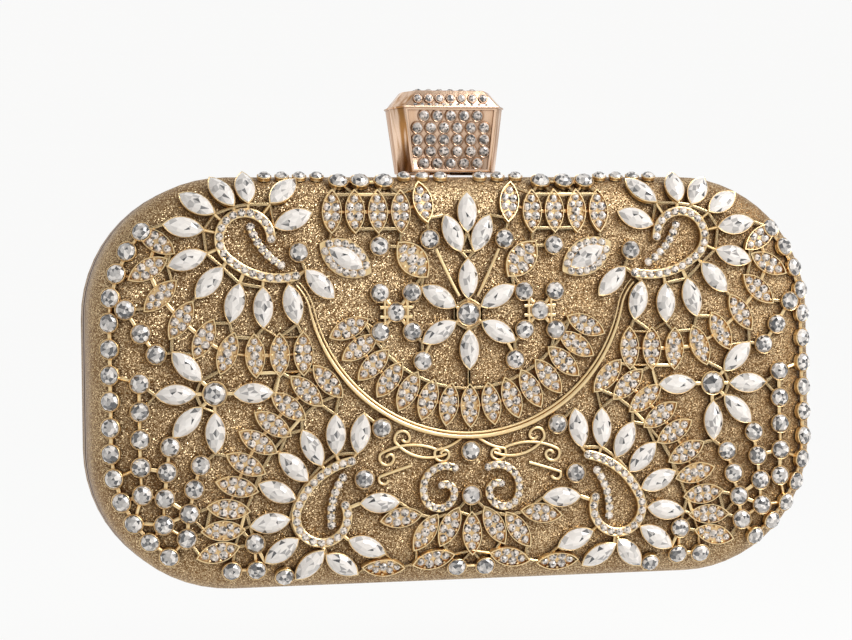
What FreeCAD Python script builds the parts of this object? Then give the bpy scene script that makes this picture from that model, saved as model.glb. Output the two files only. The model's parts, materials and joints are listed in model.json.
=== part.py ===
import FreeCAD, Part
import math
import os
from FreeCAD import Matrix, Placement, Vector

# Jewelled box clutch: two pillow shaped halves in metal frames, hinged along the bottom,
# closed by a crystal knob that is pressed down on the top edge.
# Millimetres. X is the width, Y the depth with the jewelled front at -Y, Z is up.
# Every piece is modelled about the parting plane at y = 0, and moved back at the end so that
# the origin is the middle of the underside.

# Case
case_width = 189.0
case_height = 103.0
case_corner = 35.0
front_depth = 20.0
front_edge = 10.0
back_depth = 16.0
back_edge = 9.0
parting_gap = 0.2

# Walls, from the outside in
frame_wall = 0.8
frame_inner_wall = 0.8
frame_depth = 3.2
frame_web = 1.8
channel_gap = 0.1
cover_thickness = 0.8
cover_groove = 0.35
shell_thickness = 1.6
lining_thickness = 0.6
lining_gap = 0.05

# Hinges
hinge_margin = 4.5
hinge_length = 18.0
hinge_axis_height = 1.5
knuckle_radius = 1.3
knuckle_gap = 0.2
pin_radius = 0.6
pin_clearance = 0.04
pin_head_radius = 1.0
pin_head_length = 0.5
leaf_thickness = 0.7
leaf_reach = 6.6
leaf_setback = 0.15
leaf_clearance = 0.15
groove_half_angle = 48.0
rivet_radius = 0.6
rivet_clearance = 0.03
rivet_head_radius = 1.0
rivet_head_height = 0.5
hinge_rivet_spread = 10.0

# Knob
knob_width = 30.0
knob_depth = 16.0
knob_foot_width = 26.0
knob_foot_depth = 13.6
knob_bevel_width = 2.6
knob_bevel_depth = 5.0
knob_body_height = 16.8
knob_crown_height = 4.3
knob_table_width = 23.0
knob_table_depth = 8.6
knob_wall = 1.6
knob_setback = 1.5
knob_boss_radius = 2.6
knob_travel = 1.4
knob_clearance = 0.2
panel_recess = 0.4
panel_margin = 0.8
knob_stone_diameter = 2.6
knob_stone_height = 0.9
knob_stone_pitch = 3.55
knob_row_pitch = 3.05
crown_stone_diameter = 2.0
crown_stone_pitch = 2.9

# Clasp works
stem_radius = 1.2
stem_clearance = 0.04
stem_socket_depth = 7.0
bushing_radius = 1.9
bushing_flange_radius = 2.2
bushing_margin = 0.3
bushing_clearance = 0.05
bushing_tail = 0.3
nut_radius = 3.1
nut_height = 1.3
nut_sides = 6
bracket_width = 14.0
bracket_depth = 4.8
bracket_height = 13.8
bracket_thickness = 0.8
bracket_gap = 0.3
latch_width = 7.0
latch_thickness = 0.8
latch_drop = 5.6
latch_nose_height = 0.65
latch_nose_depth = 0.8
latch_clearance = 0.15
latch_tail = 2.0
spring_radius = 1.9
spring_wire = 0.5
spring_turns = 5
spring_gap = 0.05
clip_radius = 2.3
clip_thickness = 0.6
clip_gap = 0.1
stem_tail = 0.5
keeper_width = 8.0
keeper_thickness = 0.8
keeper_reach = 8.0
keeper_setback = 0.6
keeper_drop = 3.0
keeper_tongue = 3.2
keeper_rivet_spread = 4.4

# Settings and stones, for a face of the size that the ornament is drawn for
pattern_width = 189.0
pattern_height = 103.0
glue_gap = 0.02
collet_height = 1.3
collet_rim = 0.3
collet_taper = 0.35
round_collet = 4.9
round_crown = 1.5
flower_collet = 6.0
marquise_length = 10.0
marquise_width = 5.0
marquise_crown = 1.7
leaf_length = 8.6
leaf_width = 4.3
leaf_height = 1.2
petal_reach = 8.9
side_petal_reach = 9.6
band_width = 1.7
band_height = 1.5
band_radius = 41.2
garland_radius = 33.8
garland_rise = 10.7
paisley_head = 6.5
paisley_width = 2.3
paisley_height = 1.4
leg_width = 1.7
halo_length = 15.0
halo_width = 9.0
halo_gap = 0.15
halo_height = 1.0
spiral_radius = 4.6
spiral_width = 1.9
scroll_radius = 2.0
scroll_width = 0.8
scroll_height = 0.9
cluster_reach = 18.7
cluster_rise = 0.7
cluster_step_x = 4.1
cluster_step_z = 4.9
edge_pitch = 6.4
edge_offset = 2.5
edge_tilt_angle = 48.0
rim_tilt_angle = 50.0
garland_step_angle = 9.4
garland_side_count = 7
band_end_angle = 12.0
overrun = 5.0

# Proportions of the stones
table_share = 0.55
shoulder_share = 0.4

# Places on the face. The first number is a share of the half width from the middle, the second a
# share of the height, and the third the direction of the long axis in degrees. All are for the
# right half, and are mirrored for the left.
centre_flower_shares = (0.0, 0.658)
side_flower_shares = (0.685, 0.476)
upper_paisley_shares = (0.599, 0.845)
lower_paisley_shares = (0.407, 0.175)
tulip_shares = [(0.0, 0.907, 90), (0.040, 0.856, 66)]
upper_sunburst_shares = [
    (0.471, 0.891, 160), (0.494, 0.954, 130), (0.593, 0.962, 88), (0.656, 0.953, 62),
    (0.722, 0.926, 35), (0.760, 0.874, 8), (0.751, 0.796, 162), (0.695, 0.742, 132),
    (0.629, 0.692, 105), (0.554, 0.680, 90), (0.475, 0.687, 78), (0.402, 0.735, 45)]
lower_sunburst_shares = [
    (0.300, 0.373, 100), (0.366, 0.372, 90), (0.430, 0.341, 62), (0.480, 0.296, 45),
    (0.524, 0.238, 24), (0.544, 0.164, -8), (0.515, 0.097, -33), (0.440, 0.064, -50),
    (0.354, 0.062, 36), (0.287, 0.099, 22), (0.250, 0.204, 0)]
upper_garland_shares = [
    (0.449, 0.568, 90), (0.512, 0.566, 90), (0.577, 0.565, 88), (0.650, 0.572, 110),
    (0.711, 0.607, 117), (0.770, 0.653, 122), (0.823, 0.711, 137), (0.854, 0.775, 152),
    (0.830, 0.840, 35)]
lower_garland_shares = [
    (0.385, 0.500, 48), (0.442, 0.478, 44), (0.491, 0.442, 38), (0.533, 0.400, 34),
    (0.573, 0.358, 30), (0.606, 0.306, 27), (0.630, 0.253, 14), (0.653, 0.200, 7),
    (0.668, 0.149, 0), (0.682, 0.098, -14)]
top_row_shares = [(0.119, 0.930, 82), (0.181, 0.909, 90), (0.243, 0.909, 90), (0.305, 0.909, 90),
                  (0.367, 0.909, 92)]
fan_shares = [(0.0, 0.122, 90), (0.062, 0.140, -62), (0.127, 0.128, -55), (0.193, 0.166, -8),
              (0.105, 0.064, -14), (0.240, 0.050, 4)]
palmette_shares = [(0.150, 0.792, 50)]
halo_shares = (0.332, 0.797, 30)
round_shares = [(0.103, 0.842), (0.240, 0.826), (0.457, 0.812), (0.242, 0.384), (0.291, 0.262),
                (0.127, 0.545)]
foot_row_shares = [(0.645, 0.056), (0.580, 0.056), (0.504, 0.039), (0.585, 0.116), (0.039, 0.046)]
rim_row_shares = (0.217, 0.282, 0.340)
centre_round_shares = (0.323, 0.2155)
side_column_shares = [(0.912, 0.679), (0.875, 0.622), (0.836, 0.572), (0.880, 0.504),
                      (0.880, 0.437), (0.880, 0.371), (0.880, 0.305), (0.876, 0.240),
                      (0.803, 0.352), (0.812, 0.292), (0.819, 0.230), (0.822, 0.168),
                      (0.724, 0.306), (0.742, 0.250), (0.756, 0.192), (0.763, 0.133)]
spiral_centre_shares = (0.086, 0.233)

# Outlines of the curled ornaments, as shares of their own radius
paisley_tail_shares = ((0.62, -1.42), (1.93, -1.42))
paisley_leg_shares = ((1.36, -1.00), (0.66, -0.40), (0.20, 0.45))
paisley_head_angle = 238.0
lower_paisley_angle = 156.0
spiral_shares = [((-0.83, 1.12), (0.72, 0.72), (0.92, -0.28)), ((0.92, -0.28), (0.06, -1.06), (-0.70, -0.54)),
                 ((-0.70, -0.54), (-0.62, 0.12), (-0.08, 0.20))]
scroll_shares = [((-5.6, -2.0), (-1.7, -2.2), (0.95, -0.45)), ((0.95, -0.45), (0.2, 0.98), (-0.9, 0.1)),
                 ((-0.9, 0.1), (-0.45, -0.42), (0.1, -0.05))]
lower_scroll_shares = [((-3.4, 1.5), (-0.9, 0.75), (0.75, 0.2)), ((0.75, 0.2), (0.25, -0.72), (-0.45, -0.2))]
scroll_place_shares = (0.184, 0.357)
lower_scroll_place_shares = (0.234, 0.262)

# Derived levels
half_width = case_width / 2
half_height = case_height / 2
half_gap = parting_gap / 2
hinge_place = half_width - case_corner - hinge_margin - hinge_length / 2
shell_inset = frame_wall
lining_inset = shell_inset + shell_thickness
cavity_inset = lining_inset + lining_thickness
frame_inset = lining_inset + channel_gap + frame_inner_wall
lining_start = frame_depth + lining_gap
cover_start = frame_depth + cover_groove
stem_place = cover_start + bushing_margin + bushing_flange_radius + bushing_clearance
knob_foot = case_height + knob_travel + knob_clearance
knob_girdle = knob_foot + knob_body_height
knob_top = knob_girdle + knob_crown_height
ceiling = case_height - cavity_inset
bracket_top = ceiling - bracket_gap
bracket_foot = bracket_top - bracket_height
nut_top = bracket_top - bracket_thickness
nut_foot = nut_top - nut_height
latch_top = bracket_top - latch_drop
latch_foot = latch_top - latch_thickness
lip_foot = latch_top + latch_nose_height + latch_clearance
keeper_top = case_height - frame_inset
leaf_seat = frame_inset
fit_share = min(case_width / pattern_width, case_height / pattern_height)
ornament_reach = glue_gap + (collet_height + marquise_crown) * fit_share
base_shift = (front_depth + ornament_reach - back_depth) / 2

FRONT = -1
BACK = 1


# Shared shapes

def outline(inset, y):
    """Rounded rectangle of the case, drawn in by inset, in the plane at y."""
    right = half_width - inset
    top = case_height - inset
    bottom = inset
    radius = case_corner - inset
    bow = radius * (1 - math.sqrt(0.5))
    edges = []
    corners = [(right, top, -1, -1), (-right, top, 1, -1), (-right, bottom, 1, 1), (right, bottom, -1, 1)]
    ends = []
    for x, z, inward_x, inward_z in corners:
        on_side = Vector(x, y, z + inward_z * radius)
        on_level = Vector(x + inward_x * radius, y, z)
        middle = Vector(x + inward_x * bow, y, z + inward_z * bow)
        start, end = (on_side, on_level) if inward_x == inward_z else (on_level, on_side)
        ends.append((start, middle, end))
    for index, (start, middle, end) in enumerate(ends):
        edges.append(Part.Arc(start, middle, end).toShape())
        edges.append(Part.makeLine(end, ends[(index + 1) % len(ends)][0]))
    return Part.Wire(edges)


def prism(inset, start, end, side):
    """Slab of the case's outline between two distances from the parting plane."""
    face = Part.Face(outline(inset, side * start))
    return face.extrude(Vector(0, side * (end - start), 0))


def pillow(inset, start, depth, edge, side):
    """Slab whose outer rim is rounded over."""
    slab = prism(inset, start, depth, side)
    rim = [e for e in slab.Edges if all(abs(v.Y - side * depth) < parting_gap for v in e.Vertexes)]
    return slab.makeFillet(edge, rim)


def box(x_low, x_high, y_low, y_high, z_low, z_high):
    return Part.makeBox(x_high - x_low, y_high - y_low, z_high - z_low, Vector(x_low, y_low, z_low))


def side_box(side, x_low, x_high, near, far, z_low, z_high):
    """Box given by its distances from the parting plane, on one side of it."""
    y_low, y_high = sorted((side * near, side * far))
    return box(x_low, x_high, y_low, y_high, z_low, z_high)


def upright(radius, z_low, z_high, x, y):
    return Part.makeCylinder(radius, z_high - z_low, Vector(x, y, z_low))


def along_x(radius, x_low, x_high, y, z):
    return Part.makeCylinder(radius, x_high - x_low, Vector(x_low, y, z), Vector(1, 0, 0))


def save(name, shapes):
    """Write one node, moved so that the origin is the middle of the underside."""
    shape = shapes if isinstance(shapes, Part.Shape) else Part.makeCompound(shapes)
    shape.translate(Vector(0, base_shift, 0))
    shape.exportStep("parts/" + name + ".step")


# Case halves

def hinge_places():
    return (-hinge_place, hinge_place)


def rivet_place():
    """Distance of the hinge rivets from the parting plane."""
    return (frame_depth + leaf_reach) / 2


def hinge_rivet_points(side):
    spread = hinge_rivet_spread / 2
    return [(x + offset, side * rivet_place()) for x in hinge_places() for offset in (-spread, spread)]


def keeper_rivet_points():
    spread = keeper_rivet_spread / 2
    place = -(frame_depth + keeper_reach) / 2
    return [(-spread, place), (spread, place)]


def drill(shape, side, with_bushing=None):
    """Rivet holes of the hinge and the clasp through the walls of one half."""
    holes = [upright(rivet_radius + rivet_clearance, 0, half_height, x, y) for x, y in hinge_rivet_points(side)]
    if side == FRONT:
        for x, y in keeper_rivet_points():
            holes.append(upright(rivet_radius + rivet_clearance, half_height, case_height, x, y))
    else:
        holes.append(upright(with_bushing, half_height, case_height + overrun, 0, stem_place))
    return shape.cut(Part.makeCompound(holes))


def hinge_clearance(side):
    """What the hinges need cut from a frame: knuckle room, leaf pockets and the opening bevel."""
    rise = hinge_axis_height + overrun
    spread = rise * math.tan(math.radians(groove_half_angle))
    apex = Vector(-case_width, 0, hinge_axis_height)
    low_front = Vector(-case_width, -spread, -overrun)
    low_back = Vector(-case_width, spread, -overrun)
    bevel = Part.Face(Part.makePolygon([apex, low_front, low_back, apex]))
    cuts = [bevel.extrude(Vector(2 * case_width, 0, 0))]
    reach = hinge_length / 2 + leaf_clearance
    for x in hinge_places():
        cuts.append(along_x(knuckle_radius + leaf_clearance, x - reach - pin_head_length,
                            x + reach + pin_head_length, 0, hinge_axis_height))
        far = leaf_setback + leaf_thickness + leaf_clearance
        cuts.append(side_box(side, x - reach, x + reach, 0, far, hinge_axis_height, frame_inset + overrun))
    return cuts


def frame(side):
    """Channel that clamps the edge of the shell: outer wall, web and inner wall."""
    ring = prism(0, half_gap, frame_depth, side).cut(prism(frame_inset, 0, frame_depth + overrun, side))
    slot = prism(shell_inset, frame_web, frame_depth + overrun, side)
    slot = slot.cut(prism(lining_inset + channel_gap, 0, frame_depth + 2 * overrun, side))
    ring = ring.cut(slot)
    for cutter in hinge_clearance(side):
        ring = ring.cut(cutter)
    return ring


def tray(inset, start, depth, edge, thickness, side):
    """Pillow with an open side and an even wall."""
    outer = pillow(inset, start, depth, edge, side)
    inner = pillow(inset + thickness, start, depth - thickness, edge - thickness, side)
    return outer.cut(inner)


def case_half(side):
    """Frame, cover, shell and lining of one half."""
    depth, edge = (front_depth, front_edge) if side == FRONT else (back_depth, back_edge)
    name = "front" if side == FRONT else "back"
    cover = tray(shell_inset - cover_thickness, cover_start, depth, edge, cover_thickness, side)
    shell_depth = depth - cover_thickness
    shell = tray(shell_inset, frame_web + lining_gap, shell_depth, edge - cover_thickness, shell_thickness, side)
    lining = tray(lining_inset, lining_start, shell_depth - shell_thickness,
                  edge - cover_thickness - shell_thickness, lining_thickness, side)
    if side == BACK:
        flange_hole = upright(bushing_flange_radius + bushing_clearance, half_height, case_height + overrun,
                              0, stem_place)
        cover = cover.cut(flange_hole)
    tube_hole = bushing_radius + bushing_clearance
    save(name + "_frame", frame(side))
    save(name + "_cover", cover)
    save(name + "_shell", drill(shell, side, tube_hole))
    save(name + "_lining", drill(lining, side, tube_hole))


# Hinges

def knuckle_spans(side, x):
    """X ranges of the knuckles on one leaf: the back leaf has the outer two."""
    third = hinge_length / 3
    low = x - hinge_length / 2
    half = knuckle_gap / 2
    if side == FRONT:
        return [(low + third + half, low + 2 * third - half)]
    return [(low, low + third - half), (low + 2 * third + half, low + hinge_length)]


def hinge_leaf(side, x):
    low = x - hinge_length / 2
    high = x + hinge_length / 2
    leaf_top = leaf_seat + leaf_thickness
    flange_far = leaf_setback + leaf_thickness
    plate = side_box(side, low, high, leaf_setback, leaf_reach, leaf_seat, leaf_top)
    flange = side_box(side, low, high, leaf_setback, flange_far, hinge_axis_height, leaf_top)
    other = BACK if side == FRONT else FRONT
    for start, end in knuckle_spans(other, x):
        flange = flange.cut(along_x(knuckle_radius + leaf_clearance, start - knuckle_gap, end + knuckle_gap,
                                    0, hinge_axis_height))
    leaf = plate.fuse(flange)
    for start, end in knuckle_spans(side, x):
        leaf = leaf.fuse(along_x(knuckle_radius, start, end, 0, hinge_axis_height))
    leaf = leaf.cut(along_x(pin_radius + pin_clearance, low - overrun, high + overrun, 0, hinge_axis_height))
    holes = [upright(rivet_radius + rivet_clearance, 0, leaf_top + overrun, px, py)
             for px, py in hinge_rivet_points(side)]
    return leaf.cut(Part.makeCompound(holes)).removeSplitter()


def hinge_pin(x):
    """Pin with a head at each end, just clear of the outer knuckles."""
    reach = hinge_length / 2 + pin_clearance
    shank = along_x(pin_radius, x - reach, x + reach, 0, hinge_axis_height)
    left = along_x(pin_head_radius, x - reach - pin_head_length, x - reach, 0, hinge_axis_height)
    right = along_x(pin_head_radius, x + reach, x + reach + pin_head_length, 0, hinge_axis_height)
    return shank.fuse([left, right]).removeSplitter()


def rivet(x, y, seat, end):
    """Rivet with its head on seat and its shank running to end, up or down."""
    up = seat > end
    head_low, head_high = (seat, seat + rivet_head_height) if up else (seat - rivet_head_height, seat)
    shank_low, shank_high = (end, seat) if up else (seat, end)
    head = upright(rivet_head_radius, head_low, head_high, x, y)
    return head.fuse(upright(rivet_radius, shank_low, shank_high, x, y)).removeSplitter()


def hinges():
    for side, name in ((FRONT, "front"), (BACK, "back")):
        for x, hand in zip(hinge_places(), ("left", "right")):
            save("hinge_leaf_" + name + "_" + hand, hinge_leaf(side, x))
        top = leaf_seat + leaf_thickness
        save("hinge_rivets_" + name, [rivet(x, y, top, shell_inset) for x, y in hinge_rivet_points(side)])
    for x, hand in zip(hinge_places(), ("left", "right")):
        save("hinge_pin_" + hand, hinge_pin(x))


# Knob and clasp works

def octagon(width, depth, z):
    """Rectangle with bevelled corners, centred over the knob's own middle."""
    x = width / 2
    y = depth / 2
    near_x = x - knob_bevel_width
    near_y = y - knob_bevel_depth
    corners = [(near_x, -y), (x, -near_y), (x, near_y), (near_x, y),
               (-near_x, y), (-x, near_y), (-x, -near_y), (-near_x, -y)]
    points = [Vector(px, knob_setback + py, z) for px, py in corners]
    return Part.makePolygon(points + points[:1])


def frustum(lower, upper):
    return Part.makeLoft([lower, upper], True, True)


def knob_front(z):
    """Y of the knob's sloping front face at a height."""
    rise = (z - knob_foot) / knob_body_height
    return knob_setback - (knob_foot_depth + (knob_depth - knob_foot_depth) * rise) / 2


def panel_half_width(z):
    rise = (z - knob_foot) / knob_body_height
    return (knob_foot_width + (knob_width - knob_foot_width) * rise) / 2 - knob_bevel_width - panel_margin


def panel_corner(x_side, z, depth):
    return Vector(x_side * panel_half_width(z), knob_front(z) + depth, z)


def knob_panel():
    """Shallow tapered recess in the front face that holds the stones."""
    low = knob_foot + panel_margin
    high = knob_girdle - panel_margin
    wires = []
    for depth in (-panel_recess, panel_recess):
        corners = [panel_corner(-1, low, depth), panel_corner(1, low, depth),
                   panel_corner(1, high, depth), panel_corner(-1, high, depth)]
        wires.append(Part.makePolygon(corners + corners[:1]))
    return frustum(wires[0], wires[1])


def knob_body():
    """Die cast block, hollow from below, with a boss for the stem."""
    body = frustum(octagon(knob_foot_width, knob_foot_depth, knob_foot), octagon(knob_width, knob_depth, knob_girdle))
    crown = frustum(octagon(knob_width, knob_depth, knob_girdle),
                    octagon(knob_table_width, knob_table_depth + knob_bevel_depth, knob_top))
    inner = 2 * knob_wall
    hollow = frustum(octagon(knob_foot_width - inner, knob_foot_depth - inner, knob_foot),
                     octagon(knob_width - inner, knob_depth - inner, knob_girdle - knob_wall))
    boss = upright(knob_boss_radius, knob_foot, knob_girdle, 0, stem_place)
    block = body.fuse(crown).removeSplitter()
    block = block.cut(hollow.cut(boss))
    block = block.cut(upright(stem_radius + stem_clearance, knob_foot - overrun, knob_foot + stem_socket_depth,
                              0, stem_place))
    return block.cut(knob_panel())


def gem(points, crown):
    """Flat backed stone: a girdle outline at the bottom, drawn in to a table at the top."""
    lower = [Vector(x, y, 0) for x, y in points]
    upper = [Vector(x * table_share, y * table_share, crown) for x, y in points]
    return frustum(Part.makePolygon(lower + lower[:1]), Part.makePolygon(upper + upper[:1]))


def ring_points(diameter, count):
    turns = [2 * math.pi * (index + 0.5) / count for index in range(count)]
    return [(diameter / 2 * math.cos(turn), diameter / 2 * math.sin(turn)) for turn in turns]


def posed(shape, point, along, normal):
    """Copy of a shape with its X axis along a direction and its Z axis along a normal."""
    w = Vector(normal).normalize()
    u = Vector(along).sub(Vector(w).multiply(Vector(along).dot(w))).normalize()
    v = w.cross(u)
    copy = shape.copy()
    copy.Placement = Placement(Matrix(u.x, v.x, w.x, point.x, u.y, v.y, w.y, point.y,
                                      u.z, v.z, w.z, point.z, 0, 0, 0, 1))
    return copy


def knob_stones():
    """Five rows on the front panel, and four rows round the crown."""
    big = gem(ring_points(knob_stone_diameter, 6), knob_stone_height)
    small = gem(ring_points(crown_stone_diameter, 6), knob_stone_height)
    lean = (knob_depth - knob_foot_depth) / 2 / knob_body_height
    front = Vector(0, -1, -lean)
    stones = []
    middle = knob_foot + knob_body_height / 2
    for row, count in zip((2, 1, 0, -1, -2), (5, 6, 6, 6, 5)):
        z = middle + row * knob_row_pitch
        for index in range(count):
            x = (index - (count - 1) / 2) * knob_stone_pitch
            stones.append(posed(big, Vector(x, knob_front(z) + panel_recess - glue_gap, z), Vector(1, 0, 0), front))
    slope_run = (knob_depth - knob_table_depth - knob_bevel_depth) / 2
    for side in (FRONT, BACK):
        out = Vector(0, side * knob_crown_height, slope_run)
        place = knob_setback + side * (knob_depth - slope_run) / 2
        for index in range(7):
            x = (index - 3) * crown_stone_pitch
            seat = Vector(x, place, (knob_girdle + knob_top) / 2).add(Vector(out).normalize().multiply(glue_gap))
            stones.append(posed(small, seat, Vector(1, 0, 0), out))
        for index in range(6):
            x = (index - 2.5) * crown_stone_pitch
            y = knob_setback + side * crown_stone_pitch / 2
            stones.append(posed(small, Vector(x, y, knob_top + glue_gap), Vector(1, 0, 0), Vector(0, 0, 1)))
    return stones


def clasp_bushing():
    tail = nut_foot - bushing_tail
    flange_foot = case_height - shell_inset
    body = upright(bushing_radius, tail, flange_foot, 0, stem_place)
    body = body.fuse(upright(bushing_flange_radius, flange_foot, flange_foot + cover_thickness, 0, stem_place))
    return body.cut(upright(stem_radius + stem_clearance, tail - overrun, case_height + overrun, 0, stem_place))


def clasp_nut():
    turns = [2 * math.pi * index / nut_sides for index in range(nut_sides)]
    points = [Vector(nut_radius * math.cos(t), stem_place + nut_radius * math.sin(t), nut_foot) for t in turns]
    body = Part.Face(Part.makePolygon(points + points[:1])).extrude(Vector(0, 0, nut_height))
    return body.cut(upright(bushing_radius + stem_clearance, nut_foot - overrun, nut_top + overrun, 0, stem_place))


def lock_bracket():
    """Bent strip under the ceiling of the back half, open to the front and the back."""
    half = bracket_width / 2
    near = stem_place - bracket_depth / 2
    far = stem_place + bracket_depth / 2
    body = box(-half, half, near, far, bracket_foot, bracket_top)
    inner = half - bracket_thickness
    body = body.cut(box(-inner, inner, near - overrun, far + overrun,
                        bracket_foot + bracket_thickness, bracket_top - bracket_thickness))
    body = body.cut(upright(bushing_radius + bushing_clearance, nut_top - overrun, case_height, 0, stem_place))
    return body.cut(upright(stem_radius + stem_clearance, bracket_foot - overrun,
                            bracket_foot + overrun, 0, stem_place))


def knob_stem():
    clip_top = bracket_foot - clip_gap
    return upright(stem_radius, clip_top - clip_thickness - stem_tail, knob_foot + stem_socket_depth, 0, stem_place)


def stem_clip():
    top = bracket_foot - clip_gap
    body = upright(clip_radius, top - clip_thickness, top, 0, stem_place)
    return body.cut(upright(stem_radius + stem_clearance, top - overrun, top + overrun, 0, stem_place))


def latch_plate():
    """Plate on the stem with an upturned nose that stands before the keeper's lip."""
    half = latch_width / 2
    near = keeper_tongue - keeper_thickness - latch_clearance - latch_nose_depth
    plate = box(-half, half, near, stem_place + latch_tail, latch_foot, latch_top)
    nose = box(-half, half, near, near + latch_nose_depth, latch_top, latch_top + latch_nose_height)
    body = plate.fuse(nose).removeSplitter()
    return body.cut(upright(stem_radius + stem_clearance, latch_foot - overrun, latch_top + overrun, 0, stem_place))


def lock_spring():
    """Coil round the stem, between the bracket's floor and the latch plate."""
    low = bracket_foot + bracket_thickness + spring_wire / 2 + spring_gap
    high = latch_foot - spring_wire / 2 - spring_gap
    path = Part.makeHelix((high - low) / spring_turns, high - low, spring_radius)
    section = Part.Wire(Part.makeCircle(spring_wire / 2, Vector(spring_radius, 0, 0), Vector(0, 1, 0)))
    coil = Part.Wire(path.Edges).makePipeShell([section], True, True)
    coil.translate(Vector(0, stem_place, low))
    return coil


def latch_keeper():
    """Bracket under the top of the front frame, stepped down to a hooked tongue."""
    half = keeper_width / 2
    t = keeper_thickness
    tongue_top = keeper_top - t - keeper_drop + t
    tongue_foot = tongue_top - t
    base = box(-half, half, -keeper_reach, -keeper_setback, keeper_top - t, keeper_top)
    drop = box(-half, half, -keeper_setback - t, -keeper_setback, tongue_foot, keeper_top)
    tongue = box(-half, half, -keeper_setback - t, keeper_tongue, tongue_foot, tongue_top)
    lip = box(-half, half, keeper_tongue - t, keeper_tongue, lip_foot, tongue_top)
    body = base.fuse([drop, tongue, lip]).removeSplitter()
    holes = [upright(rivet_radius + rivet_clearance, half_height, case_height, x, y) for x, y in keeper_rivet_points()]
    return body.cut(Part.makeCompound(holes))


def clasp():
    save("knob_body", knob_body())
    save("knob_stones", knob_stones())
    save("knob_stem", knob_stem())
    save("clasp_bushing", clasp_bushing())
    save("clasp_nut", clasp_nut())
    save("lock_bracket", lock_bracket())
    save("latch_plate", latch_plate())
    save("lock_spring", lock_spring())
    save("stem_clip", stem_clip())
    save("latch_keeper", latch_keeper())
    rivet_seat = keeper_top - keeper_thickness
    save("keeper_rivets", [rivet(x, y, rivet_seat, case_height - shell_inset) for x, y in keeper_rivet_points()])


# Jewelled front

def on_face(x, z):
    """Point on the front cover over a place on the face, and the outward normal there."""
    beside = abs(x) - (half_width - case_corner)
    above = abs(z - half_height) - (half_height - case_corner)
    if beside > 0 and above > 0:
        reach = math.hypot(beside, above)
        out_x, out_z = beside / reach, above / reach
    else:
        reach = max(beside, above)
        out_x, out_z = (1, 0) if beside > above else (0, 1)
    out_x = math.copysign(out_x, x)
    out_z = math.copysign(out_z, z - half_height)
    lean = min(max((front_edge - case_corner + reach) / front_edge, 0), 1)
    upright_part = math.sqrt(1 - lean * lean)
    point = Vector(x, -(front_depth - front_edge + front_edge * upright_part), z)
    return point, Vector(out_x * lean, -upright_part, out_z * lean)


def set_on_face(shape, x, z, angle, height=0):
    """Shape fitted to the face and glued to it, raised by height, with its long axis turned to angle."""
    point, normal = on_face(x, z)
    turn = math.radians(angle)
    raised = point.add(Vector(normal).multiply(glue_gap + height * fit_share))
    return posed(shape.scaled(fit_share), raised, Vector(math.cos(turn), 0, math.sin(turn)), normal)


def face_places(shares):
    """Places and directions in millimetres and degrees, on both halves of the face."""
    places = []
    for entry in shares:
        x = entry[0] * half_width
        z = entry[1] * case_height
        angle = entry[2] if len(entry) > 2 else 0
        places.append((x, z, angle))
        if x > 0:
            places.append((-x, z, 180 - angle))
    return places


def lens_wire(length, width, z):
    """Two arcs that meet in points: the outline of a marquise or a leaf."""
    left = Vector(-length / 2, 0, z)
    right = Vector(length / 2, 0, z)
    upper = Part.Arc(left, Vector(0, width / 2, z), right).toShape()
    lower = Part.Arc(right, Vector(0, -width / 2, z), left).toShape()
    return Part.Wire([upper, lower])


def lens_plate(length, width, height):
    return Part.Face(lens_wire(length, width, 0)).extrude(Vector(0, 0, height))


def marquise_collet(length, width):
    foot = lens_wire(length - 2 * collet_taper, width - 2 * collet_taper, 0)
    return frustum(foot, lens_wire(length, width, collet_height))


def marquise_gem(length, width):
    """Six sided girdle: two points and two shoulders each side."""
    half_length = length / 2 - collet_rim
    half_breadth = width / 2 - collet_rim
    shoulder = half_length * shoulder_share
    points = [(half_length, 0), (shoulder, half_breadth), (-shoulder, half_breadth),
              (-half_length, 0), (-shoulder, -half_breadth), (shoulder, -half_breadth)]
    return gem(points, marquise_crown)


def round_cup(diameter):
    points = ring_points(diameter, 8)
    wires = []
    for radius_cut, z in ((collet_taper, 0), (0, collet_height)):
        share = 1 - 2 * radius_cut / diameter
        corners = [Vector(x * share, y * share, z) for x, y in points]
        wires.append(Part.makePolygon(corners + corners[:1]))
    return frustum(wires[0], wires[1])


def save_marquises(name, places, length=marquise_length, width=marquise_width):
    collet = marquise_collet(length, width)
    stone = marquise_gem(length, width)
    save(name + "_settings", [set_on_face(collet, x, z, a) for x, z, a in places])
    save(name + "_stones", [set_on_face(stone, x, z, a, collet_height) for x, z, a in places])


def save_rounds(name, places, diameter=round_collet):
    cup = round_cup(diameter)
    stone = gem(ring_points(diameter - 2 * collet_rim, 8), round_crown)
    save(name + "_settings", [set_on_face(cup, x, z, a) for x, z, a in places])
    save(name + "_stones", [set_on_face(stone, x, z, a, collet_height) for x, z, a in places])


def save_leaves(name, places):
    leaf = lens_plate(leaf_length, leaf_width, leaf_height)
    save(name, [set_on_face(leaf, x, z, a) for x, z, a in places])


def petals(centre_x, centre_z, reach, angles):
    """Marquises pointing out from a flower's middle."""
    places = []
    out = reach * fit_share
    for angle in angles:
        turn = math.radians(angle)
        places.append((centre_x + out * math.cos(turn), centre_z + out * math.sin(turn), angle))
    return places


def edge_place(inset, travel):
    """Place on the face at a distance from its edge, a way along from the middle of the right side."""
    straight = half_height - case_corner
    radius = case_corner - inset
    way = abs(travel)
    if way <= straight:
        x, rise = half_width - inset, way
    else:
        turn = (way - straight) / radius
        x = half_width - case_corner + radius * math.cos(turn)
        rise = straight + radius * math.sin(turn)
    return x, half_height + math.copysign(rise, travel)


def mirrored(places):
    return places + [(-x, z, 180 - a) for x, z, a in places]


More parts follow.
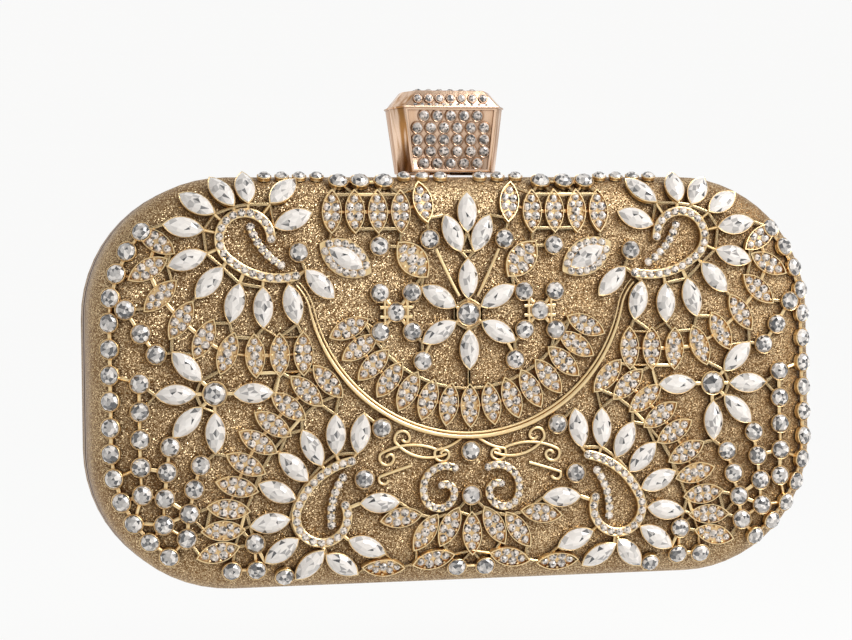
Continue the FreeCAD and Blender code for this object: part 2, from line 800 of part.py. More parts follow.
def edge_rows():
    """Collets along the rounded edge at both sides, over the top edge and beside the lower corners."""
    side_inset = front_edge * (1 - math.sin(math.radians(edge_tilt_angle)))
    places = []
    for step in range(-8, 7):
        x, z = edge_place(side_inset, (edge_offset + step * edge_pitch) * fit_share)
        places.append((x, z, 90))
    top_inset = front_edge * (1 - math.sin(math.radians(rim_tilt_angle)))
    for share in rim_row_shares:
        places.append((share * half_width, case_height - top_inset, 0))
    return mirrored(places) + face_places(side_column_shares) + face_places(foot_row_shares)


def ribbon(arcs, width, height):
    """Flat strip along a run of arcs, each given by three places on the flat of the face."""
    y = -(front_depth + glue_gap)
    edges = []
    for start, middle, end in arcs:
        points = [Vector(x, y, z) for x, z in (start, middle, end)]
        edges.append(Part.Arc(points[0], points[1], points[2]).toShape())
    rim = Part.Wire(edges).makeOffset2D(width * fit_share / 2, 0, False, False)
    return Part.Face(rim).extrude(Vector(0, -height * fit_share, 0))


def curled(arcs, centre, radius, angle, mirror):
    """Arcs given as shares of a radius, turned, placed on the face, and mirrored for the left half."""
    scale = radius * fit_share
    cos_turn = math.cos(math.radians(angle))
    sin_turn = math.sin(math.radians(angle))
    placed = []
    for arc in arcs:
        points = []
        for u, v in arc:
            x = centre[0] * half_width + scale * (u * cos_turn - v * sin_turn)
            z = centre[1] * case_height + scale * (u * sin_turn + v * cos_turn)
            points.append((-x if mirror else x, z))
        placed.append(points)
    return placed


def paisley_arcs():
    """Head that curls round from its end, then the tail, in shares of the head's radius."""
    def on_head(degrees):
        turn = math.radians(degrees)
        return (math.cos(turn), math.sin(turn))
    head = (on_head(0), on_head(paisley_head_angle / 2), on_head(paisley_head_angle))
    return [head, (head[2],) + paisley_tail_shares]


def paisleys():
    """The four curled drops: the upper pair faces the middle, the lower pair is turned up."""
    for name, centre, turn, flip in (("upper", upper_paisley_shares, 0, True),
                                     ("lower", lower_paisley_shares, lower_paisley_angle, False)):
        bands = []
        for mirror in (False, True):
            for arcs, width in ((paisley_arcs(), paisley_width), ([paisley_leg_shares], leg_width)):
                if flip:
                    arcs = [[(-u, v) for u, v in arc] for arc in arcs]
                bands.append(ribbon(curled(arcs, centre, paisley_head, turn, mirror), width, paisley_height))
        save(name + "_paisley_bands", bands)


def round_garland(radius, angle):
    """Place on the face at a distance and a direction from the garland's centre."""
    turn = math.radians(angle)
    out = radius * fit_share
    centre = centre_flower_shares[1] * case_height + garland_rise * fit_share
    return out * math.cos(turn), centre + out * math.sin(turn)


def garland_places():
    """Leaves evenly stepped round the garland's centre, each side of straight down."""
    angles = [index * garland_step_angle - 90 for index in range(-garland_side_count, garland_side_count + 1)]
    return [round_garland(garland_radius, angle) + (angle,) for angle in angles]


def garland_band():
    """Half ring under the centre flower."""
    ends = [round_garland(band_radius, angle) for angle in (band_end_angle - 180, -90, -band_end_angle)]
    return ribbon([ends], band_width, band_height)


def halo(length, width):
    """Lens shaped surround with an opening for a marquise setting."""
    opening = lens_plate(marquise_length + 2 * halo_gap, marquise_width + 2 * halo_gap, halo_height)
    return lens_plate(length, width, halo_height).cut(opening)


def jewelled_front():
    centre_x, centre_z = 0, centre_flower_shares[1] * case_height
    side_x = side_flower_shares[0] * half_width
    side_z = side_flower_shares[1] * case_height
    save_marquises("centre_flower", petals(centre_x, centre_z, petal_reach, range(30, 390, 60)))
    save_marquises("side_flower", mirrored(petals(side_x, side_z, side_petal_reach, (180, 45, 0, -45, -90))))
    save_rounds("flower_centre", [(centre_x, centre_z, 0), (side_x, side_z, 0), (-side_x, side_z, 0)], flower_collet)
    save_marquises("tulip", face_places(tulip_shares))
    save_marquises("upper_sunburst", face_places(upper_sunburst_shares))
    save_marquises("lower_sunburst", face_places(lower_sunburst_shares))
    halo_places = face_places([halo_shares])
    save_marquises("halo", halo_places)
    surround = halo(halo_length, halo_width)
    save("halo_surrounds", [set_on_face(surround, x, z, a) for x, z, a in halo_places])
    save_leaves("upper_garland_leaves", face_places(upper_garland_shares))
    save_leaves("lower_garland_leaves", face_places(lower_garland_shares))
    save_leaves("inner_garland_leaves", garland_places())
    save_leaves("top_row_leaves", face_places(top_row_shares) + face_places(palmette_shares))
    save_leaves("bottom_fan_leaves", face_places(fan_shares))
    save("garland_band", garland_band())
    paisleys()
    spirals = [ribbon(curled(spiral_shares, spiral_centre_shares, spiral_radius, 0, mirror), spiral_width,
                      paisley_height) for mirror in (False, True)]
    save("centre_spirals", spirals)
    scrolls = []
    for mirror in (False, True):
        for arcs, place in ((scroll_shares, scroll_place_shares), (lower_scroll_shares, lower_scroll_place_shares)):
            scrolls.append(ribbon(curled(arcs, place, scroll_radius, 0, mirror), scroll_width, scroll_height))
    save("scroll_wires", scrolls)
    cluster_x = cluster_reach * fit_share
    cluster_z = centre_z + cluster_rise * fit_share
    cluster = [(cluster_x, cluster_z, 0)]
    for x_side in (-1, 1):
        for z_side in (-1, 1):
            x = cluster_x + x_side * cluster_step_x * fit_share
            z = cluster_z + z_side * cluster_step_z * fit_share
            cluster.append((x, z, 0))
    singles = face_places(round_shares) + [(0, share * case_height, 0) for share in centre_round_shares]
    save_rounds("cluster", mirrored(cluster) + singles)
    save_rounds("edge", edge_rows())


def main():
    os.makedirs("parts", exist_ok=True)
    case_half(FRONT)
    case_half(BACK)
    hinges()
    clasp()
    jewelled_front()


main()
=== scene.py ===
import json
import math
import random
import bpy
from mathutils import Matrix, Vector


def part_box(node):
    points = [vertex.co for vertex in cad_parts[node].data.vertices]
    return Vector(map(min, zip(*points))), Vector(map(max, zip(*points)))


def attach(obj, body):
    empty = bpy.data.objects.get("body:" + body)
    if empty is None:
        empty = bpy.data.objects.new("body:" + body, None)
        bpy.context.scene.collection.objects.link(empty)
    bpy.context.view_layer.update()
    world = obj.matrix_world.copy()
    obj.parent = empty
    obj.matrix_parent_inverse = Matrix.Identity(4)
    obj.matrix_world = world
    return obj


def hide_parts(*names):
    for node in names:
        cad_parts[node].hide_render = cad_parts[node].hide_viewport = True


bl_info = {
    "name": "Jewelled box clutch",
    "version": (1, 0, 0),
    "blender": (4, 5, 0),
    "location": "View3D > Sidebar > Clutch",
    "description": "Dresses a box clutch: glitter covers, crystals in gilt settings, scrolls and knob",
    "category": "Object",
}

from collections import namedtuple

import bmesh
import bpy
from bpy.props import FloatProperty, FloatVectorProperty, PointerProperty
from mathutils import Matrix, Vector

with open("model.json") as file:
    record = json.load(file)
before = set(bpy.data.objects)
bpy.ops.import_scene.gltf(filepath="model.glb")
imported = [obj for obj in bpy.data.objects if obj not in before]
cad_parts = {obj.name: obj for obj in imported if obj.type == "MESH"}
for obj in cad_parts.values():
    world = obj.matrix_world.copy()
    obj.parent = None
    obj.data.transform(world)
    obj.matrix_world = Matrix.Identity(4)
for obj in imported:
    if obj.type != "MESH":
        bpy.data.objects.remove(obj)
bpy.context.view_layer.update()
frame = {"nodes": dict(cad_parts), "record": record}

# The front cover gives the half width, the height and the level of the face
COVER_LOW, COVER_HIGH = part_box("front_cover")
HALF_WIDTH = COVER_HIGH.x
HEIGHT = COVER_HIGH.z
FACE = COVER_LOW.y
OUT = Vector((0, -1, 0))

# The two halves meet in a plane, and points closer than the weld are one point
PARTING = (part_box("front_frame")[1].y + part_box("back_frame")[0].y) / 2
WELD = 0.000002

# Sides that face the same way to this many digits are one, and a piece's long way points right, or else up
NORMAL_DIGITS = 2
UPRIGHT_SHARE = 0.01

# How far along and how high each row of corners on a stone lies, as shares of its half size and crown
Tier = namedtuple("Tier", "reach breadth rise count")
MARQUISE_SHARES = (Tier(1.0, 1.0, 0.0, 16), Tier(0.97, 0.96, 0.16, 16), Tier(0.70, 0.66, 0.66, 8),
                   Tier(0.46, 0.34, 0.95, 6), Tier(0.22, 0.0, 1.0, 2))
ROUND_SHARES = (Tier(1.0, 1.0, 0.0, 14), Tier(0.98, 0.98, 0.16, 14), Tier(0.78, 0.78, 0.66, 8),
                Tier(0.46, 0.46, 0.95, 8), Tier(0.0, 0.0, 1.0, 1))
PAVE_SHARES = (Tier(1.0, 1.0, 0.0, 8), Tier(0.98, 0.98, 0.22, 8), Tier(0.58, 0.58, 0.88, 6),
               Tier(0.0, 0.0, 1.0, 1))

# Chances of a white, a grey and a dark painted facet reflection on each kind of stone
MARQUISE_FACET_SHARES = (0.80, 0.14, 0.06)
ROUND_FACET_SHARES = (0.24, 0.42, 0.34)
SMOKE_FACET_SHARES = (0.10, 0.50, 0.40)
PAVE_FACET_SHARES = (0.44, 0.36, 0.20)

# Levels of the white, the grey and the dark painted facet reflections, and how many stones of a kind are cut
WHITE_LEVEL_SHARES = (0.82, 1.0)
GREY_LEVEL_SHARES = (0.35, 0.70)
DARK_LEVEL_SHARES = (0.0, 0.16)
STONES_OF_A_KIND = 8

# Seeds of the draws, and of the first stone of each kind
MARQUISE_SEED, ROUND_SEED, LEAF_SEED, BAND_SEED, KNOB_SEED = 3, 5, 7, 11, 13
MARQUISE_STONE_SEED, ROUND_STONE_SEED, LEAF_STONE_SEED, BAND_STONE_SEED, HALO_STONE_SEED = 0, 20, 40, 60, 80
KNOB_STONE_SEEDS = (100, 999)

# Rings of a collet, a leaf plate or a knob stone's rim: share of the outline, share of the height
COLLET_SHARES = ((0.86, 0.0), (0.93, 0.10), (0.90, 0.45), (1.0, 0.86), (1.0, 1.06), (0.97, 1.14),
                 (0.92, 1.10), (0.90, 0.98))
LEAF_SHARES = ((1.0, 0.0), (1.0, 0.80), (0.97, 1.05), (0.90, 1.05), (0.87, 0.45))
KNOB_RIM_SHARES = ((1.0, 0.0), (1.0, 0.30), (0.96, 0.38), (0.90, 0.30))
POINTED_SIDES, CUP_SIDES, RIM_SIDES = 24, 20, 16

# Steps of the case's round corners and rims, of the knob's softened edges and of the sweep's bend
CORNER_STEPS, RIM_STEPS, KNOB_STEPS, SWEEP_STEPS = 14, 10, 2, 16

# How much larger than its solid a piece is drawn, and how far a stone fills its setting
LEAF_GROW_SHARE = 1.20
LEAF_POINT_SHARE = 1.12
STONE_GROW_SHARE = 1.06
KNOB_STONE_GROW_SHARE = 1.12
MARQUISE_FILL_SHARE = 0.95
ROUND_FILL_SHARE = 0.88

# Stones on a leaf: place along and across it as shares of its half size, and share of the stone's size
LEAF_ROW_SHARES = ((-0.64, 0.0, 0.95), (-0.23, 0.43, 1.05), (-0.23, -0.43, 1.05), (0.23, 0.43, 1.05),
                   (0.23, -0.43, 1.05), (0.64, 0.0, 0.95))
LEAF_PAIR_SHARES = ((0.0, 0.0, 1.10), (-0.35, 0.40, 0.86), (-0.35, -0.40, 0.86), (0.35, 0.40, 0.86),
                    (0.35, -0.40, 0.86), (-0.69, 0.0, 0.86), (0.69, 0.0, 0.86))
LEAF_BEAD_SHARES = ((0.0, 0.78), (0.0, -0.78), (0.5, 0.58), (0.5, -0.58), (-0.5, 0.58), (-0.5, -0.58))

# Curls, as shares of their own radius, and their places as shares of the half width and the height
PAISLEY_HEAD_ANGLE = 238.0
PAISLEY_TAIL_SHARES = ((0.62, -1.42), (1.93, -1.42))
PAISLEY_LEG_SHARES = ((1.36, -1.00), (0.66, -0.40), (0.20, 0.45))
UPPER_PAISLEY_SHARES = (0.599, 0.845)
LOWER_PAISLEY_SHARES = (0.407, 0.175)
LOWER_PAISLEY_ANGLE = 156.0
SPIRAL_SHARES = (((-0.83, 1.12), (0.72, 0.72), (0.92, -0.28)),
                 ((0.92, -0.28), (0.06, -1.06), (-0.70, -0.54)),
                 ((-0.70, -0.54), (-0.62, 0.12), (-0.08, 0.20)))
SPIRAL_PLACE_SHARES = (0.086, 0.233)
SCROLL_SHARES = (((-5.6, -2.0), (-1.7, -2.2), (0.95, -0.45)), ((0.95, -0.45), (0.2, 0.98), (-0.9, 0.1)),
                 ((-0.9, 0.1), (-0.45, -0.42), (0.1, -0.05)))
SCROLL_PLACE_SHARES = (0.184, 0.357)
HIGH_SCROLL_SHARES = (((-3.2, 2.6), (-1.6, 1.3), (0.9, 0.5)), ((0.9, 0.5), (0.3, -0.95), (-0.85, -0.2)),
                      ((-0.85, -0.2), (-0.3, 0.45), (0.3, 0.0)))
HIGH_SCROLL_PLACE_SHARES = (0.076, 0.318)
OUTER_SCROLL_SHARES = (((-6.2, 0.9), (-2.4, 1.5), (0.9, 0.5)), ((0.9, 0.5), (0.3, -0.9), (-0.8, -0.1)),
                       ((-0.8, -0.1), (-0.35, 0.4), (0.2, 0.0)))
OUTER_SCROLL_PLACE_SHARES = (0.226, 0.312)
LOWER_SCROLL_SHARES = (((-3.4, 1.5), (-0.9, 0.75), (0.75, 0.2)), ((0.75, 0.2), (0.25, -0.72), (-0.45, -0.2)))
LOWER_SCROLL_PLACE_SHARES = (0.234, 0.262)
SCROLLS = ((SCROLL_SHARES, SCROLL_PLACE_SHARES), (LOWER_SCROLL_SHARES, LOWER_SCROLL_PLACE_SHARES),
           (HIGH_SCROLL_SHARES, HIGH_SCROLL_PLACE_SHARES), (OUTER_SCROLL_SHARES, OUTER_SCROLL_PLACE_SHARES))
CLUSTER_SHARES = (0.198, 0.665)
PALMETTE_SHARES = (0.150, 0.792)
PALMETTE_GROW_SHARES = (1.05, 1.45, 1.0, 1.0)

# Cups on the rim: the sides' rows roll up it, and small ones stand along the top
EDGE_ROLL_ANGLE = 17.0
RIM_CUP_ANGLE = 66.0
RIM_CUP_SHARE = 0.72
RIM_CUP_SHARES = (0.055, 0.105, 0.155, 0.393, 0.440, 0.487, 0.534)

# Small stones on the knob's crown: rows as shares of its slope, and their pitch as a share of a stone
CROWN_ROW_SHARES = (0.16, 0.86)
CROWN_PITCH_SHARE = 1.12

# Garland band: where the cast arc ends, its tips as shares of its radius, how thin they get, and the share
# of a wire's run over which it thins
BAND_END_ANGLE = 12.0
BAND_TIP_SHARES = ((0.028, 0.070), (0.080, 0.140))
BAND_THIN_SHARE = 0.4
TAPER_SHARE = 0.25

# Thin stems that run over the face, each a run of places in shares of the half width and the height
STEM_SHARES = (((0.086, 0.817), (0.060, 0.765), (0.025, 0.702)),
               ((0.127, 0.545), (0.095, 0.60), (0.045, 0.635)),
               ((0.0, 0.700), (0.004, 0.735), (0.0, 0.770)))

# Nodes whose pieces end in points, which the web of thin wires joins
POINTED_NODES = ("upper_garland_leaves", "lower_garland_leaves", "inner_garland_leaves", "top_row_leaves",
                 "bottom_fan_leaves", "centre_flower_settings", "side_flower_settings", "tulip_settings",
                 "upper_sunburst_settings", "lower_sunburst_settings", "halo_settings")
LINKED_NODES = ("upper_garland_leaves", "lower_garland_leaves", "inner_garland_leaves", "top_row_leaves")
WEB_NEIGHBOURS = 3
HALO_STONES = 14

# Angles in degrees below which faces look smooth, or count as flat, and the knob's edges that are softened
CLOTH_SMOOTH, CAST_SMOOTH, WIRE_SMOOTH, KNOB_SMOOTH = 30, 40, 60, 25
STONE_FLAT, KNOB_FLAT, KNOB_SHARP = 2, 1, 12
KNOB_SHORT_EDGE = 0.002

# Depth of the relief in the finishes
POLISH_DEPTH = 0.00005
WEAVE_DEPTH = 0.00008
MOULD_DEPTH = 0.0001

# Roughness of each finish, at its smoothest and at its roughest places
GLITTER_ROUGHNESS = (0.28, 0.58)
GILT_ROUGHNESS = (0.26, 0.42)
ROSE_ROUGHNESS = (0.14, 0.30)
FRAME_ROUGHNESS = (0.30, 0.46)
STEEL_ROUGHNESS = (0.19, 0.35)
CRYSTAL_ROUGHNESS = (0.03, 0.09)
SATIN_ROUGHNESS = (0.40, 0.60)
MOULD_ROUGHNESS = (0.50, 0.70)

# Share of the first of two patterns in a tone, and what the steel's slow drift adds to its roughness
FIRST_PATTERN_SHARE = 0.6
MOULD_GRAIN_SHARE = 0.5
STEEL_DRIFT_SHARE = 0.10

# Opening: how far the painted shadow of the gap stays full on the frames, and how far the painted shadow on
# the cloth beside the gap reaches, as shares of the line
SEAM_FADE_SHARE = 0.8
OPENING_SHADOW_SHARE = 2

# Glitter: levels of the flakes where few and many shine, of the brightest ones, and of the wall and the face
FLAKE_LEVELS = (0.25, 1.75)
SPARK_LIMIT, SPARK_LEVEL = 0.90, 0.6
WALL_LEVELS = (0.45, 1.0)
GLITTER_METALLIC = (0.50, 0.85)
FLAKE_SLANT = 0.9
# NOOK_POWER shapes the painted shade on the cloth beside the castings
FLAKE_DRIFT_POWER, NOOK_POWER = 1.5, 2.5

# Rose gold: level of the knob's front, the painted shade and painted reflection streaks on its bevel faces,
# and how the painted shade gathers in its crevices
ROSE_FRONT_LEVEL, ROSE_BEVEL_SHADE = 0.85, 0.42
STREAK_MIDDLE, STREAK_CONTRAST = 0.53, 7.0
ROSE_CREVICE_POWER = 1.5

# Coat of the stones, where the glass has no flaw and where it has most
CRYSTAL_COAT = (0.5, 0.9)

# Studio: lamps, paper sweep, brightness of the room from its front to its back, and the camera's film
KEY_WIDTH, KEY_PLACE = 0.35, Vector((0.34, -0.36, 0.42))
FILL_WIDTH, FILL_PLACE = 0.7, Vector((-0.9, -0.6, 0.45))
SWEEP_REACH, SWEEP_RADIUS, SWEEP_RISE = 6.0, 2.0, 5.0
SWEEP_WHITE_SHARE = 0.95
PAPER_TONE_SHARE = 0.06
ROOM_SHARES = ((0.0, 0.72), (0.32, 0.78), (0.50, 0.52), (0.68, 0.90), (1.0, 1.0))
ROOM_DEPTH_SHARE, ROOM_HEIGHT_SHARE, ROOM_MIDDLE_SHARE = 0.4, 0.35, 0.5
ROOM_STRENGTH = 0.74
FILM_WIDTH = 36.0
NEAR_CLIP = 0.01


# Properties

def size(name, description, default):
    """Length in metres that a user can set."""
    return FloatProperty(name=name, description=description, default=default, min=0.0, precision=5,
                         unit="LENGTH", subtype="DISTANCE")


def colour(name, description, default):
    """Colour that a user can set."""
    return FloatVectorProperty(name=name, description=description, default=default, size=3, min=0.0, max=1.0,
                               subtype="COLOR")


def angle(name, description, default):
    """Angle that a user can set, with its default in degrees."""
    return FloatProperty(name=name, description=description, default=math.radians(default), unit="ROTATION",
                         subtype="ANGLE")


class ClutchSizes(bpy.types.PropertyGroup):
    """Sizes of the small work on the clutch"""

    corner: size("Corner", "Radius of the case's corners", 0.035)
    front_edge: size("Front edge", "Rounding of the front cover's rim", 0.010)
    back_edge: size("Back edge", "Rounding of the back cover's rim", 0.009)
    wrap: size("Wrap", "Thickness of the glitter cloth with its card", 0.0007)
    satin: size("Satin", "Thickness of the lining", 0.0007)
    flake: size("Flake", "Width of one glitter flake", 0.00021)
    leaf_stone: size("Leaf stone", "Width of a small stone on a leaf", 0.00225)
    band_stone: size("Band stone", "Width of a small stone on a paisley band", 0.0022)
    spiral_stone: size("Spiral stone", "Width of a small stone on a spiral", 0.0020)
    halo_stone: size("Halo stone", "Width of a small stone round a haloed marquise", 0.0022)
    halo_inset: size("Halo inset", "How much smaller than its plate the halo's row of stones is", 0.0026)
    pave_crown: size("Small crown", "Height of a small stone above its seat", 0.0009)
    bead: size("Bead", "Radius of a gilt bead between small stones", 0.00040)
    link: size("Link", "Radius of the gilt bars between settings", 0.0005)
    cluster: size("Cluster", "How far the cups of a group of five lie from its middle", 0.0075)
    tie: size("Tie", "Radius of the thin wires of a lattice and of the web between the settings", 0.00044)
    web_reach: size("Web reach", "Largest distance that a wire of the web spans", 0.0060)
    lip: size("Lip", "Radius of the bead round the knob", 0.00032)
    knob_cut_x: size("Knob cut, X", "How far the knob's corners are cut back along its front", 0.0026)
    knob_cut_y: size("Knob cut, Y", "How far the knob's corners are cut back along its sides", 0.0050)
    crown_stone: size("Crown stone", "Width of the small stones on the knob's crown", 0.0016)
    crown_rise: size("Crown rise", "Height of the knob's crown", 0.0043)
    crown_inset: size("Crown inset", "How far the crown's rows stay inside the knob's sides", 0.0056)
    crown_run: size("Crown run", "How far the crown's front slopes back", 0.0037)
    # Reach of the painted shadow of the gap at the opening, on the frames and the cloth
    seam: size("Seam", "How far the dark line of the opening reaches on each side", 0.0012)
    wall_depth: size("Wall depth", "How far from the opening the cloth has its full glitter", 0.0120)
    lattice_gap: size("Lattice gap", "Half the gap between the two level wires of a lattice", 0.0012)
    lattice_inset: size("Lattice inset", "How far a lattice's upright wires lie inside its cups", 0.0012)
    link_reach: size("Link reach", "Largest distance that a bar between two leaves spans", 0.0080)
    cup_reach: size("Cup reach", "Largest distance that a bar between two round cups spans", 0.0074)
    link_rise: size("Link rise", "Height of the bars above the glitter cloth", 0.0007)
    leaf_link_rise: size("Leaf link rise", "Height of the bars between leaves above the cloth", 0.0001)
    rail: size("Rail", "Radius of the wire along the edge of a band", 0.00034)
    paisley_head: size("Paisley head", "Radius of a paisley's round end", 0.0065)
    paisley_band: size("Paisley band", "Width of a paisley's band", 0.0023)
    paisley_leg: size("Paisley leg", "Width of the band inside a paisley", 0.0017)
    spiral_radius: size("Spiral radius", "Radius of a centre spiral", 0.0046)
    spiral_band: size("Spiral band", "Width of a centre spiral's band", 0.0019)
    scroll_radius: size("Scroll radius", "Radius of the curl at the end of a scroll", 0.0020)
    run_step: size("Run step", "Distance between the points of a wire's run", 0.0005)
    garland_half: size("Garland half width", "Half the width of the garland band", 0.00085)
    stem_rise: size("Stem rise", "Height of the stems above the glitter cloth", 0.0011)
    stem: size("Stem", "Radius of the long stems and scrolls", 0.00042)
    strand: size("Strand", "Radius of the thick wire of the garland band", 0.00062)
    thin_strand: size("Thin strand", "Radius of the thin wire of the garland band", 0.00036)
    # Reach of the painted shade in the crevices of the castings and the knob
    crevice: size("Crevice", "How far the dark plating reaches out of the castings' crevices", 0.0014)
    nook: size("Nook", "How far the shade beside the castings reaches over the glitter cloth", 0.0070)
    floor_drop: size("Floor drop", "How far the floor lies below the clutch", 0.026)
    edge: size("Edge", "Rounding of the edges of the knob", 0.00022)
    rim: size("Rim", "Width of the rim round a knob stone", 0.00018)


class ClutchColours(bpy.types.PropertyGroup):
    """Colours of the clutch's finishes"""

    glitter_light: colour("Glitter, bright flakes", "Bright flakes of the covers", (0.92, 0.71, 0.43))
    glitter_dark: colour("Glitter, dull flakes", "Dull flakes and the cloth under them", (0.19, 0.089, 0.022))
    # Painted shade on the cloth beside the castings and along the opening
    glitter_shade: colour("Glitter, nooks", "Brown cloth close beside the castings", (0.050, 0.018, 0.0025))
    gilt_light: colour("Gilt, worn", "Pale gold of the castings where they are rubbed", (1.0, 0.85, 0.55))
    gilt_dark: colour("Gilt, deep", "Deeper gold of the castings", (0.95, 0.66, 0.29))
    # Painted shade in the castings' crevices
    gilt_crevice_shade: colour("Gilt, crevices", "Red gold in the crevices of the castings", (0.46, 0.19, 0.035))
    # The bright tone also gives the painted reflection streaks; the next one is the painted shade on the
    # knob's bevel faces
    rose_light: colour("Rose gilt, bright", "Bright rose gold of the knob", (0.96, 0.70, 0.52))
    rose_shaded: colour("Rose gilt, deep", "Deeper rose gold of the knob", (0.48, 0.23, 0.075))
    # Painted shade in the knob's crevices
    rose_crevice_shade: colour("Rose gilt, crevices", "Dark gold in the crevices of the knob", (0.14, 0.055, 0.02))
    frame_light: colour("Frame, bright", "Rubbed places of the opening frames", (0.42, 0.27, 0.17))
    frame_dark: colour("Frame, dull", "Dull places of the opening frames", (0.22, 0.13, 0.075))
    # Painted shadow of the gap where the two frames meet
    frame_seam_shadow: colour("Frame, seam", "Dark line where the two frames meet", (0.055, 0.036, 0.024))
    # Painted reflections of the stones' facets: the white and the dark ends
    crystal_light: colour("Crystal, white", "White facets of the stones", (0.80, 0.75, 0.70))
    crystal_dark: colour("Crystal, dark", "Dark facets of the stones", (0.025, 0.026, 0.03))
    pave_crystal: colour("Small crystal", "White facets of the small stones", (0.82, 0.73, 0.64))
    rose_crystal: colour("Knob crystal", "White facets of the knob's stones", (0.72, 0.64, 0.58))
    satin_light: colour("Satin, light", "Raised threads of the lining", (0.72, 0.62, 0.47))
    satin_dark: colour("Satin, dark", "Sunk threads of the lining", (0.50, 0.41, 0.28))
    moulding_light: colour("Moulding, light", "Light specks of the moulded shells", (0.20, 0.17, 0.13))
    moulding_dark: colour("Moulding, dark", "Ground of the moulded shells", (0.12, 0.10, 0.08))
    steel_light: colour("Steel, bright", "Bright streaks of the clasp and hinge steel", (0.70, 0.69, 0.67))
    steel_dark: colour("Steel, dull", "Dull streaks of the clasp and hinge steel", (0.46, 0.45, 0.44))
    floor: colour("Floor", "Floor and backdrop", (0.97, 0.97, 0.965))


class ClutchStage(bpy.types.PropertyGroup):
    """Camera and light"""

    yaw: angle("Yaw", "How far left of the front the camera stands", 13.5)
    pitch: angle("Pitch", "How far above the level the camera stands", -0.31)
    roll: angle("Roll", "Roll of the camera", -0.93)
    distance: size("Distance", "Distance of the camera from what it looks at", 0.6218)
    look_x: FloatProperty(name="Look at, X", description="What the camera looks at", default=-0.0060,
                          unit="LENGTH", subtype="DISTANCE", precision=5)
    look_depth: size("Look at, depth", "How far behind the face the camera looks at", 0.020)
    look_z: size("Look at, Z", "Height of what the camera looks at", 0.06653)
    lens: FloatProperty(name="Lens", description="Focal length in millimetres", default=101.1, min=1.0)
    key: FloatProperty(name="Key light", description="Power of the lamp on the right", default=3.2, min=0.0,
                       unit="POWER")
    fill: FloatProperty(name="Fill light", description="Power of the lamp on the left", default=0.8, min=0.0,
                        unit="POWER")


def sizes():
    return bpy.context.scene.clutch_sizes


def colours():
    return bpy.context.scene.clutch_colours


# Finishes

class Shade:
    """A value in a node tree; sums written on it add Math nodes"""

    def __init__(self, tree, socket):
        self.tree = tree
        self.socket = socket

    def maths(self, operation, first, second):
        node = self.tree.nodes.new("ShaderNodeMath")
        node.operation = operation
        feed(self.tree, first, node.inputs[0])
        feed(self.tree, second, node.inputs[1])
        return Shade(self.tree, node.outputs[0])

    def __add__(self, other):
        return self.maths("ADD", self, other)

    def __radd__(self, other):
        return self.maths("ADD", other, self)

    def __sub__(self, other):
        return self.maths("SUBTRACT", self, other)

    def __rsub__(self, other):
        return self.maths("SUBTRACT", other, self)

    def __mul__(self, other):
        return self.maths("MULTIPLY", self, other)

    def __rmul__(self, other):
        return self.maths("MULTIPLY", other, self)

    def __pow__(self, other):
        return self.maths("POWER", self, other)

    def __abs__(self):
        return self.maths("ABSOLUTE", self, 0.0)

    def __gt__(self, other):
        return self.maths("GREATER_THAN", self, other)


def feed(tree, value, socket):
    """Link a shade to a socket, or set a plain value on it."""
    if isinstance(value, Shade):
        tree.links.new(value.socket, socket)
    elif hasattr(value, "__len__") and socket.type == "RGBA":
        socket.default_value = tuple(value)[:3] + (1.0,)
    else:
        socket.default_value = value


def within(value, limits):
    """A value from 0 to 1, brought between two limits."""
    low, high = limits
    return low + (high - low) * value


class Finish:
    """A node tree under construction"""

    def __init__(self, tree):
        self.tree = tree

    def add(self, kind, settings, values, output=0):
        node = self.tree.nodes.new("ShaderNode" + kind)
        for name, setting in settings.items():
            if name == "stops":
                for place, level in setting:
                    stop = node.color_ramp.elements.new(place)
                    stop.color = (level, level, level, 1.0)
                node.color_ramp.elements.remove(node.color_ramp.elements[0])
                node.color_ramp.elements.remove(node.color_ramp.elements[-1])
            else:
                setattr(node, name, setting)
        for name, value in values.items():
            feed(self.tree, value, node.inputs[name])
        return Shade(self.tree, node.outputs[output])

    def place(self):
        return self.add("TexCoord", {}, {}, "Object")

    def noise(self, scale, detail=2.0, stretch=(1.0, 1.0, 1.0)):
        placed = self.add("Mapping", {}, {"Vector": self.place(), "Scale": stretch})
        return self.add("TexNoise", {}, {"Vector": placed, "Scale": scale, "Detail": detail}, "Fac")

    def blend(self, factor, first, second):
        return self.add("Mix", {"data_type": "RGBA"}, {0: factor, 6: first, 7: second}, 2)

    def mottled(self, first, second, dark, light, share=FIRST_PATTERN_SHARE):
        """Colour between dark and light that follows two patterns at once."""
        return self.blend(first * share + second * (1 - share), dark, light)

    def bump(self, height, strength, distance):
        return self.add("Bump", {}, {"Height": height, "Strength": strength, "Distance": distance})

    def openness(self, reach):
        """1 in the open, less where other surfaces stand within reach; the finishes paint shade with it."""
        return self.add("AmbientOcclusion", {"samples": 8}, {"Distance": reach}, "AO")

    def from_parting(self):
        """Distance from the plane where the two halves meet."""
        return abs(self.add("SeparateXYZ", {}, {"Vector": self.place()}, "Y") - PARTING)

    def rise_between(self, value, start, end):
        """0 up to start and 1 from end on."""
        limits = {"Value": value, "From Min": start, "From Max": end}
        return self.add("MapRange", {"clamp": True}, limits, "Result")


def finish_named(name, constants, varying):
    """Material with constants on the shader's own sockets, and what varies from a recipe."""
    material = bpy.data.materials.get(name)
    if material:
        return material
    material = bpy.data.materials.new(name)
    material.use_nodes = True
    shader = material.node_tree.nodes["Principled BSDF"]
    for socket, value in constants.items():
        shader.inputs[socket].default_value = value
    for socket, value in varying(Finish(material.node_tree)).items():
        feed(material.node_tree, value, shader.inputs[socket])
    return material


